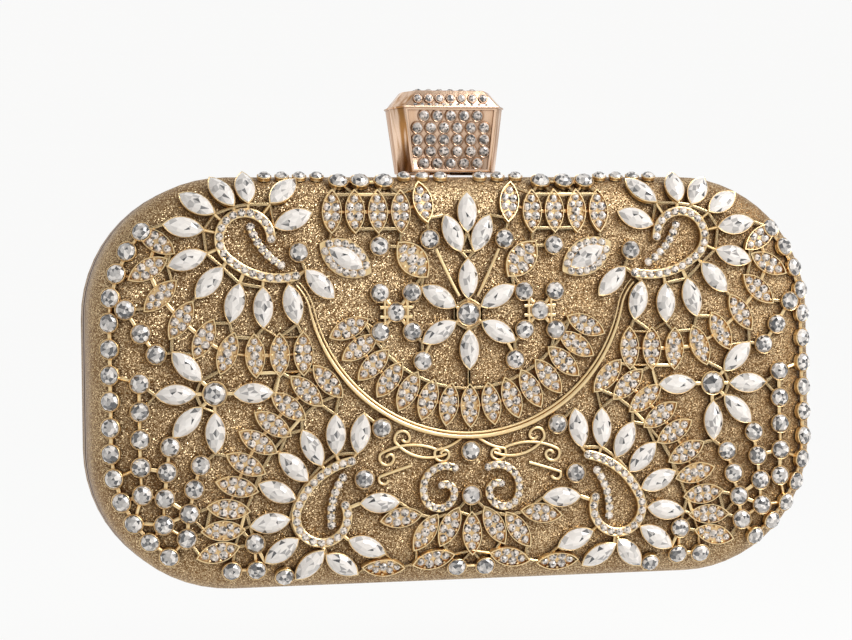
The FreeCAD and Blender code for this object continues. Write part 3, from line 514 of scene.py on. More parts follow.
def glitter_cloth():
    """Metallic flakes that each lie at their own slant, over a darker cloth, duller towards the opening, with
    painted shade beside the castings and a painted shadow along the gap at the opening.
    """
    def recipe(f):
        depth = f.from_parting()
        # Painted shadow of the gap at the opening: the cloth is dark and not metallic within the seam, and
        # clears by twice its reach
        opening_shadow_end = sizes().seam * OPENING_SHADOW_SHARE
        opening_shadow = f.rise_between(depth, sizes().seam, opening_shadow_end)
        wall = f.rise_between(depth, opening_shadow_end, sizes().wall_depth)
        flakes = f.add("TexVoronoi", {}, {"Vector": f.place(), "Scale": 1 / sizes().flake}, "Color")
        luck = f.add("SeparateColor", {}, {"Color": flakes}, "Red")
        gloss = f.add("SeparateColor", {}, {"Color": flakes}, "Green")
        drift = f.noise(scale=48.0, detail=4.0) ** FLAKE_DRIFT_POWER
        # Painted shade: ambient occlusion beside the castings, times the painted shadow at the opening; it
        # dims the flakes and darkens the cloth
        clear = f.openness(sizes().nook) * opening_shadow
        shine = luck * luck * within(drift, FLAKE_LEVELS) + (luck > SPARK_LIMIT) * SPARK_LEVEL
        level = shine * clear * within(wall, WALL_LEVELS)
        # Painted shade blends the dark cloth towards the shade colour
        cloth_and_shade = f.blend(clear ** NOOK_POWER, colours().glitter_shade, colours().glitter_dark)
        slant = f.add("VectorMath", {"operation": "SUBTRACT"}, {0: flakes, 1: (0.5, 0.5, 0.5)})
        slant = f.add("VectorMath", {"operation": "SCALE"}, {0: slant, "Scale": FLAKE_SLANT})
        facing = f.add("NewGeometry", {}, {}, "Normal")
        tilted = f.add("VectorMath", {"operation": "ADD"}, {0: facing, 1: slant})
        return {
            "Base Color": f.blend(level, cloth_and_shade, colours().glitter_light),
            "Roughness": within(gloss, GLITTER_ROUGHNESS),
            "Metallic": within(luck, GLITTER_METALLIC) * opening_shadow,
            "Normal": f.add("VectorMath", {"operation": "NORMALIZE"}, {0: tilted}),
        }
    return finish_named("glitter_cloth", {"Specular IOR Level": 0.25}, recipe)


def gilt():
    """Cast and plated: the plating's gold where it stands proud, painted shade in red gold in the crevices.
    """
    def recipe(f):
        tone = f.noise(scale=420.0, detail=3.0)
        fine = f.noise(scale=2600.0)
        # Painted shade in the crevices, from ambient occlusion
        clear = f.openness(sizes().crevice)
        plating = f.mottled(tone, fine, colours().gilt_dark, colours().gilt_light)
        return {
            "Base Color": f.blend(clear, colours().gilt_crevice_shade, plating),
            "Roughness": within(fine, GILT_ROUGHNESS),
            "Normal": f.bump(fine, strength=0.5, distance=POLISH_DEPTH),
        }
    return finish_named("gilt_casting", {"Metallic": 1.0}, recipe)


def rose_gilt():
    """Polished rose gold: upright painted reflection streaks and painted shade on the bevel faces, plain on
    the front, painted shade in the crevices.
    """
    def recipe(f):
        # Upright noise for the painted reflection streaks
        reflection_streak = f.noise(scale=520.0, stretch=(1.0, 1.0, 0.04))
        fine = f.noise(scale=1400.0, stretch=(1.0, 1.0, 0.08))
        facing = f.add("NewGeometry", {}, {}, "Normal")
        aslant = abs(f.add("SeparateXYZ", {}, {"Vector": facing}, "X"))
        # Painted shade in the crevices, from ambient occlusion
        clear = f.openness(sizes().crevice)
        # Sideways faces get painted shade and the painted reflection streaks; the front keeps its level
        bevel_shade = (reflection_streak - STREAK_MIDDLE) * STREAK_CONTRAST - ROSE_BEVEL_SHADE
        shine = ROSE_FRONT_LEVEL + bevel_shade * aslant
        tone = f.blend(shine, colours().rose_shaded, colours().rose_light)
        return {
            "Base Color": f.blend(clear ** ROSE_CREVICE_POWER, colours().rose_crevice_shade, tone),
            "Roughness": within(fine, ROSE_ROUGHNESS),
            "Normal": f.bump(fine, strength=0.12, distance=POLISH_DEPTH),
        }
    return finish_named("rose_gilt", {"Metallic": 1.0}, recipe)


def frame_gilt():
    """Plated channels, with a painted shadow of the gap along the line where the two halves meet, dark and
    not metallic there.
    """
    def recipe(f):
        tone = f.noise(scale=160.0, detail=3.0, stretch=(1.0, 1.0, 0.12))
        fine = f.noise(scale=900.0, stretch=(1.0, 1.0, 0.12))
        # Painted shadow of the gap between the halves, full within most of the seam's reach
        clear = f.rise_between(f.from_parting(), sizes().seam * SEAM_FADE_SHARE, sizes().seam)
        plating = f.mottled(tone, fine, colours().frame_dark, colours().frame_light)
        return {
            "Base Color": f.blend(clear, colours().frame_seam_shadow, plating),
            "Metallic": clear,
            "Roughness": within(fine, FRAME_ROUGHNESS),
            "Normal": f.bump(fine, strength=0.12, distance=POLISH_DEPTH),
        }
    # Without specular the painted shadow stays dark at any angle
    return finish_named("frame_gilt", {"Specular IOR Level": 0.0}, recipe)


def steel():
    """Drawn steel: drifting tone, uneven polish and a fine grain along the width."""
    def recipe(f):
        tone = f.noise(scale=160.0, detail=3.0, stretch=(0.15, 1.0, 1.0))
        fine = f.noise(scale=1800.0, stretch=(0.15, 1.0, 1.0))
        return {
            "Base Color": f.mottled(tone, fine, colours().steel_dark, colours().steel_light),
            "Roughness": within(fine, STEEL_ROUGHNESS) + tone * STEEL_DRIFT_SHARE,
            "Normal": f.bump(fine, strength=0.25, distance=POLISH_DEPTH),
        }
    return finish_named("clasp_steel", {"Metallic": 1.0}, recipe)


def crystal(name, light):
    """Cut glass with a foil back: each facet's colour is a painted reflection with its own level, from white
    to nearly black.
    """
    def recipe(f):
        # Painted reflection level of each facet
        level = f.add("Attribute", {"attribute_name": "facet"}, {}, "Fac")
        flaw = f.noise(scale=1500.0)
        return {
            "Base Color": f.blend(level, colours().crystal_dark, light),
            "Roughness": within(flaw, CRYSTAL_ROUGHNESS),
            "Coat Weight": within(flaw, CRYSTAL_COAT),
        }
    return finish_named(name, {"IOR": 1.6, "Specular IOR Level": 0.7, "Coat Roughness": 0.02}, recipe)


def clear_crystal():
    return crystal("cut_crystal", colours().crystal_light)


def small_crystal():
    return crystal("small_crystal", colours().pave_crystal)


def knob_crystal():
    return crystal("knob_crystal", colours().rose_crystal)


def lining_satin():
    """Satin weave: long floats in a fine diagonal."""
    def recipe(f):
        turned = f.add("Mapping", {}, {"Vector": f.place(), "Rotation": (0.0, 0.6, 0.0)})
        floats = f.add("TexWave", {"bands_direction": "X"},
                       {"Vector": turned, "Scale": 420.0, "Distortion": 1.2, "Detail": 2.0}, "Fac")
        drift = f.noise(scale=90.0, detail=3.0)
        return {
            "Base Color": f.mottled(floats, drift, colours().satin_dark, colours().satin_light),
            "Roughness": within(drift, SATIN_ROUGHNESS),
            "Normal": f.bump(floats, strength=0.3, distance=WEAVE_DEPTH),
        }
    return finish_named("woven_satin", {"Sheen Weight": 0.3}, recipe)


def moulded_shell():
    """Dark moulding with a fine grain."""
    def recipe(f):
        grain = f.noise(scale=2400.0, detail=3.0)
        drift = f.noise(scale=45.0)
        dark, light = colours().moulding_dark, colours().moulding_light
        return {
            "Base Color": f.mottled(grain, drift, dark, light, MOULD_GRAIN_SHARE),
            "Roughness": within(grain, MOULD_ROUGHNESS),
            "Normal": f.bump(grain, strength=0.4, distance=MOULD_DEPTH),
        }
    return finish_named("shell_moulding", {}, recipe)


# Places read from the frame

Seat = namedtuple("Seat", "matrix length width height")


def laid(along, out):
    """Turn that lays X along one way and Z along another that is square to it."""
    return Matrix((along, out.cross(along), out)).transposed().to_4x4()


def spun(luck):
    """Random turn of a stone about its own axis."""
    return Matrix.Rotation(luck.uniform(0, math.tau), 4, "Z")


def solids(node):
    """The points of each separate solid of a CAD node, and the way its largest flat side faces."""
    copy = bmesh.new()
    copy.from_mesh(frame["nodes"][node].data)
    bmesh.ops.remove_doubles(copy, verts=copy.verts, dist=WELD)
    for vert in copy.verts:
        vert.tag = False
    found = []
    for start in copy.verts:
        if start.tag:
            continue
        start.tag = True
        group = [start]
        for vert in group:
            for edge in vert.link_edges:
                other = edge.other_vert(vert)
                if not other.tag:
                    other.tag = True
                    group.append(other)
        points = [vert.co.copy() for vert in group]
        faces = {face for vert in group for face in vert.link_faces}
        sides = {}
        for face in sorted(faces, key=lambda f: f.index):
            key = tuple(round(part, NORMAL_DIGITS) for part in face.normal)
            area, normal = sides.get(key, (0.0, face.normal.copy()))
            sides[key] = (area + face.calc_area(), normal)
        found.append((points, max(sides.values(), key=lambda side: side[0])[1]))
    copy.free()
    return found


def seats(node, from_foot=False):
    """Where each solid of a node sits: its foot, its long way, its outward way and its size."""
    found = []
    for points, flat in solids(node):
        out = flat.copy()
        if from_foot or (flat.y > 0):
            out.negate()
        middle = sum(points, Vector()) / len(points)
        first = max(points, key=lambda p: (p - middle).length)
        last = max(points, key=lambda p: (p - first).length)
        along = last - first
        along = (along - out * along.dot(out)).normalized()
        if along.x + UPRIGHT_SHARE * along.z < 0:
            along.negate()
        across = out.cross(along)
        spans = []
        for way in (along, across, out):
            reaches = [p.dot(way) for p in points]
            spans.append((min(reaches), max(reaches)))
        foot = along * sum(spans[0]) / 2 + across * sum(spans[1]) / 2 + out * spans[2][0]
        spread = [high - low for low, high in spans]
        found.append(Seat(Matrix.Translation(foot) @ laid(along, out), *spread))
    return found


def round_seats(motif):
    """Seats of round cups; those along the sides lie a little further up the rounded rim."""
    found = seats(motif + "_settings")
    if motif != "edge":
        return found
    rolled = []
    for seat in found:
        out = seat.matrix.to_3x3().col[2]
        if abs(out.x) < math.sin(math.radians(EDGE_ROLL_ANGLE)):
            rolled.append(seat)
            continue
        middle = seat.matrix.translation - out * sizes().front_edge
        roll = Matrix.Rotation(math.radians(EDGE_ROLL_ANGLE), 4, out.cross(OUT))
        moved = Matrix.Translation(middle) @ roll @ Matrix.Translation(-middle)
        rolled.append(seat._replace(matrix=moved @ seat.matrix))
    return rolled


# Shapes

def add_piece(name, shape, material, body, replaced=(), smooth=None):
    """Make an object of a bmesh, paint it, and let it ride on a body."""
    mesh = bpy.data.meshes.new(name)
    shape.to_mesh(mesh)
    shape.free()
    if smooth is not None:
        for polygon in mesh.polygons:
            polygon.use_smooth = True
        mesh.set_sharp_from_angle(angle=math.radians(smooth))
    mesh.materials.append(material)
    piece = bpy.data.objects.new(name, mesh)
    bpy.context.scene.collection.objects.link(piece)
    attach(piece, body)
    if replaced:
        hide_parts(*replaced)
    return piece


def add_gilt(name, shape, replaced=(), smooth=CAST_SMOOTH):
    """Gilt piece on the front half."""
    return add_piece(name, shape, gilt(), "front_half", replaced, smooth)


def add_glass(name, shape, material, replaced=()):
    """Stones on the front half."""
    return add_piece(name, shape, material, "front_half", replaced)


def stamp(shape, template, matrix):
    """Add a copy of a template mesh at a place."""
    start = len(shape.verts)
    shape.from_mesh(template)
    shape.verts.ensure_lookup_table()
    bmesh.ops.transform(shape, matrix=matrix, verts=shape.verts[start:])


def as_template(shape, name):
    """Mesh of a bmesh, to be stamped many times."""
    mesh = bpy.data.meshes.new(name)
    shape.to_mesh(mesh)
    shape.free()
    return mesh


def merge_flat(shape, degrees):
    """Join the faces that lie in nearly one plane."""
    limit = math.radians(degrees)
    bmesh.ops.dissolve_limit(shape, angle_limit=limit, verts=shape.verts, edges=shape.edges)


def to_lens(verts, length, width):
    """Bring a ring of corners to the outline of two arcs that meet in points."""
    bulge = (length * length + width * width) / (4 * width)
    for vert in verts:
        turn = math.atan2(vert.co.y, vert.co.x)
        x = length / 2 * (1 - 2 * abs(turn) / math.pi)
        rise = math.sqrt(max(bulge * bulge - x * x, 0)) - bulge + width / 2
        vert.co.x = x
        vert.co.y = math.copysign(max(rise, 0), turn)


def ring(shape, length, width, count, lens):
    """Closed ring of edges: round, or pointed at both ends."""
    made = bmesh.ops.create_circle(shape, cap_ends=False, segments=count, radius=length / 2)["verts"]
    if lens:
        to_lens(made, length, width)
    return made


def cut_stone(name, tiers, length, width, crown, lens, chances, seed):
    """Faceted stone on its flat back, with a painted reflection level on every facet."""
    shape = bmesh.new()
    for tier in tiers:
        if tier.count == 1:
            made = [shape.verts.new((0, 0, 0))]
        elif tier.count == 2:
            made = [shape.verts.new((side * tier.reach * length / 2, 0, 0)) for side in (-1, 1)]
        else:
            made = ring(shape, length * tier.reach, width * tier.breadth, tier.count, lens)
        bmesh.ops.translate(shape, vec=(0, 0, tier.rise * crown), verts=made)
    hull = bmesh.ops.convex_hull(shape, input=shape.verts)
    spare = hull["geom_interior"] + hull["geom_unused"]
    spare = {item for item in spare if isinstance(item, bmesh.types.BMVert)}
    bmesh.ops.delete(shape, geom=list(spare), context="VERTS")
    merge_flat(shape, STONE_FLAT)
    bmesh.ops.recalc_face_normals(shape, faces=shape.faces)
    luck = random.Random(seed)
    # Each facet gets a painted reflection level
    level = shape.loops.layers.float_color.new("facet")
    for face in shape.faces:
        draw = luck.random()
        if draw < chances[0]:
            value = luck.uniform(*WHITE_LEVEL_SHARES)
        elif draw < chances[0] + chances[1]:
            value = luck.uniform(*GREY_LEVEL_SHARES)
        else:
            value = luck.uniform(*DARK_LEVEL_SHARES)
        for loop in face.loops:
            loop[level] = (value, value, value, 1.0)
    return as_template(shape, name)


def stone_set(name, tiers, length, width, crown, lens, chances, seed):
    """Stones of one size, each with its own mix of white and dark facets."""
    return [cut_stone(name, tiers, length, width, crown, lens, chances, seed + index)
            for index in range(STONES_OF_A_KIND)]


def small_stones(name, width, seed):
    """Small round stones of one width."""
    return stone_set(name, PAVE_SHARES, width, width, sizes().pave_crown, False, PAVE_FACET_SHARES, seed)


def ring_profile(name, length, width, height, steps, lens, count):
    """Ring drawn up through a profile and closed at both ends."""
    shape = bmesh.new()
    ring(shape, length, width, count, lens)
    rim = list(shape.edges)
    first = steps[0][0]
    bmesh.ops.scale(shape, vec=(first, first, 1), verts=shape.verts)
    bmesh.ops.edgeloop_fill(shape, edges=rim)
    share, level = steps[0]
    for next_share, next_level in steps[1:]:
        made = bmesh.ops.extrude_edge_only(shape, edges=rim)["geom"]
        verts = [item for item in made if isinstance(item, bmesh.types.BMVert)]
        known = set(verts)
        rim = [item for item in made if isinstance(item, bmesh.types.BMEdge) and set(item.verts) <= known]
        grow = next_share / share
        bmesh.ops.scale(shape, vec=(grow, grow, 1), verts=verts)
        bmesh.ops.translate(shape, vec=(0, 0, (next_level - level) * height), verts=verts)
        share, level = next_share, next_level
    bmesh.ops.edgeloop_fill(shape, edges=rim)
    bmesh.ops.recalc_face_normals(shape, faces=shape.faces)
    return as_template(shape, name)


def bead_template(name, radius):
    """Small ball of metal that holds stones in place."""
    shape = bmesh.new()
    bmesh.ops.create_icosphere(shape, subdivisions=1, radius=radius)
    return as_template(shape, name)


def add_wires(shape, runs, radius, rounds=2, ends=1.0):
    """Round wires along runs of points, added to a bmesh; they thin towards their ends by a share."""
    curve = bpy.data.curves.new("wire_run", "CURVE")
    curve.dimensions = "3D"
    curve.bevel_depth = radius
    curve.bevel_resolution = rounds
    curve.use_fill_caps = True
    for points in runs:
        spline = curve.splines.new("POLY")
        spline.points.add(len(points) - 1)
        for index, (knot, point) in enumerate(zip(spline.points, points)):
            knot.co = (point.x, point.y, point.z, 1.0)
            way = min(index, len(points) - 1 - index) / len(points)
            knot.radius = min(ends + (1 - ends) * way / TAPER_SHARE, 1.0)
    holder = bpy.data.objects.new("wire_run", curve)
    bpy.context.scene.collection.objects.link(holder)
    bpy.context.view_layer.update()
    mesh = bpy.data.meshes.new_from_object(holder.evaluated_get(bpy.context.evaluated_depsgraph_get()))
    shape.from_mesh(mesh)
    bpy.data.objects.remove(holder)
    bpy.data.curves.remove(curve)
    bpy.data.meshes.remove(mesh)


def arc_through(start, middle, end):
    """Centre, radius, first direction and sweep of the arc through three places."""
    ax, az = middle[0] - start[0], middle[1] - start[1]
    bx, bz = end[0] - start[0], end[1] - start[1]
    double = 2 * (ax * bz - az * bx)
    ux = (bz * (ax * ax + az * az) - az * (bx * bx + bz * bz)) / double
    uz = (ax * (bx * bx + bz * bz) - bx * (ax * ax + az * az)) / double
    centre = (start[0] + ux, start[1] + uz)
    first = math.atan2(-uz, -ux)
    last = math.atan2(end[1] - centre[1], end[0] - centre[0])
    sweep = (last - first) % (2 * math.pi)
    if double < 0:
        sweep -= 2 * math.pi
    return centre, math.hypot(ux, uz), first, sweep


def run_along(arcs, step):
    """Places about a step apart along joined arcs, and the direction across the run at each."""
    lengths = []
    for arc in arcs:
        centre, radius, first, sweep = arc_through(*arc)
        lengths.append((centre, radius, first, sweep, abs(radius * sweep)))
    total = sum(reach for *_, reach in lengths)
    count = max(int(round(total / step)), 1)
    made = []
    for index in range(count + 1):
        way = total * index / count
        for centre, radius, first, sweep, reach in lengths:
            if way <= reach + WELD:
                break
            way -= reach
        turn = first + sweep * way / reach
        side = math.copysign(1, sweep)
        across = (math.cos(turn) * side, math.sin(turn) * side)
        made.append(((centre[0] + radius * math.cos(turn), centre[1] + radius * math.sin(turn)), across))
    return made


def curled(arcs, place, radius, turn, mirror):
    """Arcs in shares of a radius, turned, put on the face and mirrored for the left half."""
    cos_turn, sin_turn = math.cos(math.radians(turn)), math.sin(math.radians(turn))
    made = []
    for arc in arcs:
        points = []
        for u, v in arc:
            x = place[0] * HALF_WIDTH + radius * (u * cos_turn - v * sin_turn)
            z = HEIGHT * place[1] + radius * (u * sin_turn + v * cos_turn)
            points.append((-x if mirror else x, z))
        made.append(points)
    return made


def drop_arcs(flip):
    """The outline of a paisley drop, in shares of its head: the head's arc, then the tail."""
    turns = [math.radians(PAISLEY_HEAD_ANGLE * part) for part in (0, 0.5, 1)]
    head = [(math.cos(turn), math.sin(turn)) for turn in turns]
    arcs = [head, (head[2],) + PAISLEY_TAIL_SHARES]
    return [[(-u, v) for u, v in arc] for arc in arcs] if flip else arcs


def lifted(run, lift, aside=0.0):
    """Points over the face along a run, moved to one side of it."""
    return [Vector((x + across[0] * aside, FACE - lift, z + across[1] * aside)) for (x, z), across in run]


def linked(found, reach, lift):
    """Bars between the seats that lie within reach of each other."""
    runs = []
    tops = [seat.matrix @ Vector((0, 0, lift)) for seat in found]
    for index, first in enumerate(tops):
        for other in tops[index + 1:]:
            if (other - first).length < reach:
                runs.append([first, other])
    return runs


# Operators

class CLUTCH_OT_case(bpy.types.Operator):
    """Paint the covers, linings, shells, frames, hinges and clasp works"""

    bl_idname = "clutch.add_case"
    bl_label = "Case"

    def execute(self, context):
        finishes = {"glitter_fabric": glitter_cloth(), "lining_satin": lining_satin(), "steel": steel(),
                    "moulded_shell": moulded_shell(), "rose_gold": rose_gilt(), "pale_gold": gilt(),
                    "clear_crystal": clear_crystal(), "grey_crystal": clear_crystal()}
        for entry in frame["record"]["subparts"]:
            owner = frame["nodes"][entry["node"]]
            owner.data.materials.clear()
            owner.data.materials.append(finishes[entry["material_slot"]])
        for name in ("front_frame", "back_frame"):
            frame["nodes"][name].data.materials[0] = frame_gilt()
        return {"FINISHED"}


class CLUTCH_OT_covers(bpy.types.Operator):
    """Glitter covers wrapped over the shells, and satin linings inside them"""

    bl_idname = "clutch.add_covers"
    bl_label = "Covers and linings"

    def execute(self, context):
        for half, side, edge in (("front", -1, sizes().front_edge), ("back", 1, sizes().back_edge)):
            cover = self.tray(half + "_cover", side, edge, sizes().wrap)
            add_piece(half + "_glitter_cover", cover, glitter_cloth(), half + "_half",
                      [half + "_cover"], CLOTH_SMOOTH)
            lining = self.tray(half + "_lining", side, edge, sizes().satin)
            add_piece(half + "_satin_lining", lining, lining_satin(), half + "_half",
                      [half + "_lining"], CLOTH_SMOOTH)
        return {"FINISHED"}

    def tray(self, node, side, edge, wall):
        """Box with round corners and a rounded rim, open towards the parting plane."""
        low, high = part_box(node)
        inset = HALF_WIDTH - high.x
        far = low.y if side < 0 else high.y
        near = high.y if side < 0 else low.y
        shape = bmesh.new()
        made = bmesh.ops.create_cube(shape, size=1.0)["verts"]
        bmesh.ops.scale(shape, vec=high - low, verts=made)
        bmesh.ops.translate(shape, vec=(low + high) / 2, verts=made)
        corners = [item for item in shape.edges if abs(item.verts[0].co.y - item.verts[1].co.y) > WELD]
        bmesh.ops.bevel(shape, geom=corners, offset=sizes().corner - inset, offset_type="OFFSET",
                        segments=CORNER_STEPS, profile=0.5, affect="EDGES", material=-1)
        rim = [item for item in shape.edges if all(abs(vert.co.y - far) < WELD for vert in item.verts)]
        bmesh.ops.bevel(shape, geom=rim, offset=edge - inset, offset_type="OFFSET",
                        segments=RIM_STEPS, profile=0.5, affect="EDGES", material=-1)
        mouth = [face for face in shape.faces if all(abs(vert.co.y - near) < WELD for vert in face.verts)]
        bmesh.ops.delete(shape, geom=mouth, context="FACES")
        bmesh.ops.recalc_face_normals(shape, faces=shape.faces)
        bmesh.ops.solidify(shape, geom=list(shape.faces), thickness=wall)
        return shape


class CLUTCH_OT_marquises(bpy.types.Operator):
    """Pointed stones in their settings: flowers, tulip, sunbursts and haloed pair"""

    bl_idname = "clutch.add_marquises"
    bl_label = "Marquise stones"

    def execute(self, context):
        sample = seats("centre_flower_settings")[0]
        crown = seats("centre_flower_stones", from_foot=True)[0].height
        length, width = sample.length * STONE_GROW_SHARE, sample.width * STONE_GROW_SHARE
        collet = ring_profile("marquise_collet", length, width, sample.height, COLLET_SHARES, True,
                              POINTED_SIDES)
        fill = MARQUISE_FILL_SHARE
        stones = stone_set("marquise_stone", MARQUISE_SHARES, length * fill, width * fill, crown, True,
                           MARQUISE_FACET_SHARES, MARQUISE_STONE_SEED)
        luck = random.Random(MARQUISE_SEED)
        for motif in ("centre_flower", "side_flower", "tulip", "upper_sunburst", "lower_sunburst", "halo"):
            metalwork = bmesh.new()
            glass = bmesh.new()
            for seat in seats(motif + "_settings"):
                stamp(metalwork, collet, seat.matrix)
                turn = Matrix.Rotation(math.pi * luck.randint(0, 1), 4, "Z")
                raised = seat.matrix @ Matrix.Translation((0, 0, seat.height))
                stamp(glass, luck.choice(stones), raised @ turn)
            add_gilt(motif + "_collets", metalwork, [motif + "_settings"])
            add_glass(motif + "_crystals", glass, clear_crystal(), [motif + "_stones"])
        return {"FINISHED"}


class CLUTCH_OT_rounds(bpy.types.Operator):
    """Round stones in their cups: clusters, edge rows and flower centres"""

    bl_idname = "clutch.add_rounds"
    bl_label = "Round stones"

    def execute(self, context):
        luck = random.Random(ROUND_SEED)
        for motif, chances, slot in (("cluster", ROUND_FACET_SHARES, "clear_crystal"),
                                     ("edge", ROUND_FACET_SHARES, "clear_crystal"),
                                     ("flower_centre", SMOKE_FACET_SHARES, "grey_crystal")):
            found = round_seats(motif)
            crown = seats(motif + "_stones", from_foot=True)[0].height
            width = found[0].length * STONE_GROW_SHARE
            cup = ring_profile("round_cup", width, width, found[0].height, COLLET_SHARES, False, CUP_SIDES)
            inner = width * ROUND_FILL_SHARE
            stones = stone_set("round_stone", ROUND_SHARES, inner, inner, crown, False, chances,
                               ROUND_STONE_SEED)
            metalwork = bmesh.new()
            glass = bmesh.new()
            if motif == "edge":
                found = found + self.rim_seats(found[0])
            for seat in found:
                stamp(metalwork, cup, seat.matrix)
                turn = spun(luck)
                raised = seat.matrix @ Matrix.Translation((0, 0, seat.height))
                stamp(glass, luck.choice(stones), raised @ turn)
            add_gilt(motif + "_cups", metalwork, [motif + "_settings"])
            add_glass(motif + "_crystals", glass, clear_crystal(), [motif + "_stones"])
        return {"FINISHED"}

    def rim_seats(self, sample):
        """Seats of the small cups along the top rim, between the large ones."""
        tilt = math.radians(RIM_CUP_ANGLE)
        out = Vector((0, -math.cos(tilt), math.sin(tilt)))
        along = Vector((1, 0, 0))
        turn = laid(along, out) @ Matrix.Scale(RIM_CUP_SHARE, 4)
        middle = Vector((0, FACE + sizes().front_edge, HEIGHT - sizes().front_edge))
        made = []
        for side in (-1, 1):
            for share in RIM_CUP_SHARES:
                spot = middle + along * side * share * HALF_WIDTH + out * sizes().front_edge
                made.append(sample._replace(matrix=Matrix.Translation(spot) @ turn))
        return made


class CLUTCH_OT_leaves(bpy.types.Operator):
    """Leaf plates with a raised rim, set with small stones"""

    bl_idname = "clutch.add_leaves"
    bl_label = "Stone-set leaves"

    def execute(self, context):
        sample = seats("inner_garland_leaves")[0]
        length, width = sample.length * LEAF_GROW_SHARE, sample.width * LEAF_GROW_SHARE
        plate = ring_profile("leaf_plate", length * LEAF_POINT_SHARE, width, sample.height, LEAF_SHARES, True,
                             POINTED_SIDES)
        bead = bead_template("leaf_bead", sizes().bead)
        stones = small_stones("leaf_stone", sizes().leaf_stone, LEAF_STONE_SEED)
        luck = random.Random(LEAF_SEED)
        floor_level = sample.height * LEAF_SHARES[-1][1]
        for name in ("upper_garland", "lower_garland", "inner_garland", "top_row", "bottom_fan"):
            metalwork = bmesh.new()
            glass = bmesh.new()
            for seat in seats(name + "_leaves"):
                seat = self.broadened(seat)
                stamp(metalwork, plate, seat.matrix)
                for along, across in LEAF_BEAD_SHARES:
                    spot = Vector((along * length / 2, across * width / 2, floor_level + sizes().bead))
                    stamp(metalwork, bead, seat.matrix @ Matrix.Translation(spot))
                for along, across, share in luck.choice((LEAF_ROW_SHARES, LEAF_ROW_SHARES, LEAF_PAIR_SHARES)):
                    spot = Vector((along * length / 2, across * width / 2, floor_level))
                    turn = spun(luck) @ Matrix.Scale(share, 4)
                    stamp(glass, luck.choice(stones), seat.matrix @ Matrix.Translation(spot) @ turn)
            add_gilt(name + "_plates", metalwork, [name + "_leaves"])
            add_glass(name + "_small_crystals", glass, small_crystal())
        return {"FINISHED"}

    def broadened(self, seat):
        """The two leaves beside the tulip are broader than the others."""
        spot = seat.matrix.translation
        x, z = PALMETTE_SHARES[0] * HALF_WIDTH, PALMETTE_SHARES[1] * HEIGHT
        heart = Vector((math.copysign(x, spot.x), spot.y, z))
        if (spot - heart).length > seat.width / 2:
            return seat
        return seat._replace(matrix=seat.matrix @ Matrix.Diagonal(PALMETTE_GROW_SHARES))


class CLUTCH_OT_bands(bpy.types.Operator):
    """Rails and small stones on the paisley bands, the spirals and the halos"""

    bl_idname = "clutch.add_bands"
    bl_label = "Stone-set bands"

    def execute(self, context):
        luck = random.Random(BAND_SEED)
        paisley = ((drop_arcs(False), sizes().paisley_band), ([PAISLEY_LEG_SHARES], sizes().paisley_leg))
        spiral = ((SPIRAL_SHARES, sizes().spiral_band),)
        groups = (
            ("upper_paisley", "upper_paisley_bands", UPPER_PAISLEY_SHARES, 0, True, paisley,
             sizes().paisley_head, sizes().band_stone),
            ("lower_paisley", "lower_paisley_bands", LOWER_PAISLEY_SHARES, LOWER_PAISLEY_ANGLE, False,
             paisley, sizes().paisley_head, sizes().band_stone),
            ("centre_spiral", "centre_spirals", SPIRAL_PLACE_SHARES, 0, False, spiral,
             sizes().spiral_radius, sizes().spiral_stone))
        for name, node, place, turn, flip, parts, radius, stone in groups:
            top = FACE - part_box(node)[0].y
            metalwork = bmesh.new()
            glass = bmesh.new()
            stones = small_stones("band_stone", stone, BAND_STONE_SEED)
            for mirror in (False, True):
                for arcs, width in parts:
                    if flip:
                        arcs = [[(-u, v) for u, v in arc] for arc in arcs]
                    put = curled(arcs, place, radius, turn, mirror)
                    close = run_along(put, sizes().run_step)
                    rails = [lifted(close, top, side * (width / 2 - sizes().rail)) for side in (-1, 1)]
                    add_wires(metalwork, rails, sizes().rail, rounds=1)
                    self.row_of_stones(glass, run_along(put, stone), top, stones, luck)
            add_gilt(name + "_rails", metalwork)
            add_glass(name + "_small_crystals", glass, small_crystal())
        self.halos(luck)
        return {"FINISHED"}

    def row_of_stones(self, glass, run, seat_level, stones, luck):
        """Small stones side by side along a run."""
        for (x, z), across in run:
            turn = laid(Vector((-across[1], 0, across[0])), OUT) @ spun(luck)
            place = Matrix.Translation(Vector((x, FACE - seat_level, z)))
            stamp(glass, luck.choice(stones), place @ turn)

    def halos(self, luck):
        """Rings of small stones round the two haloed marquises."""
        stones = small_stones("halo_stone", sizes().halo_stone, HALO_STONE_SEED)
        inset = sizes().halo_inset
        glass = bmesh.new()
        for seat in seats("halo_surrounds"):
            path = bmesh.new()
            ring(path, seat.length - inset, seat.width - inset, HALO_STONES, True)
            for vert in path.verts:
                spin = spun(luck)
                spot = Matrix.Translation(vert.co + Vector((0, 0, seat.height)))
                stamp(glass, luck.choice(stones), seat.matrix @ spot @ spin)
            path.free()
        add_glass("halo_small_crystals", glass, small_crystal())


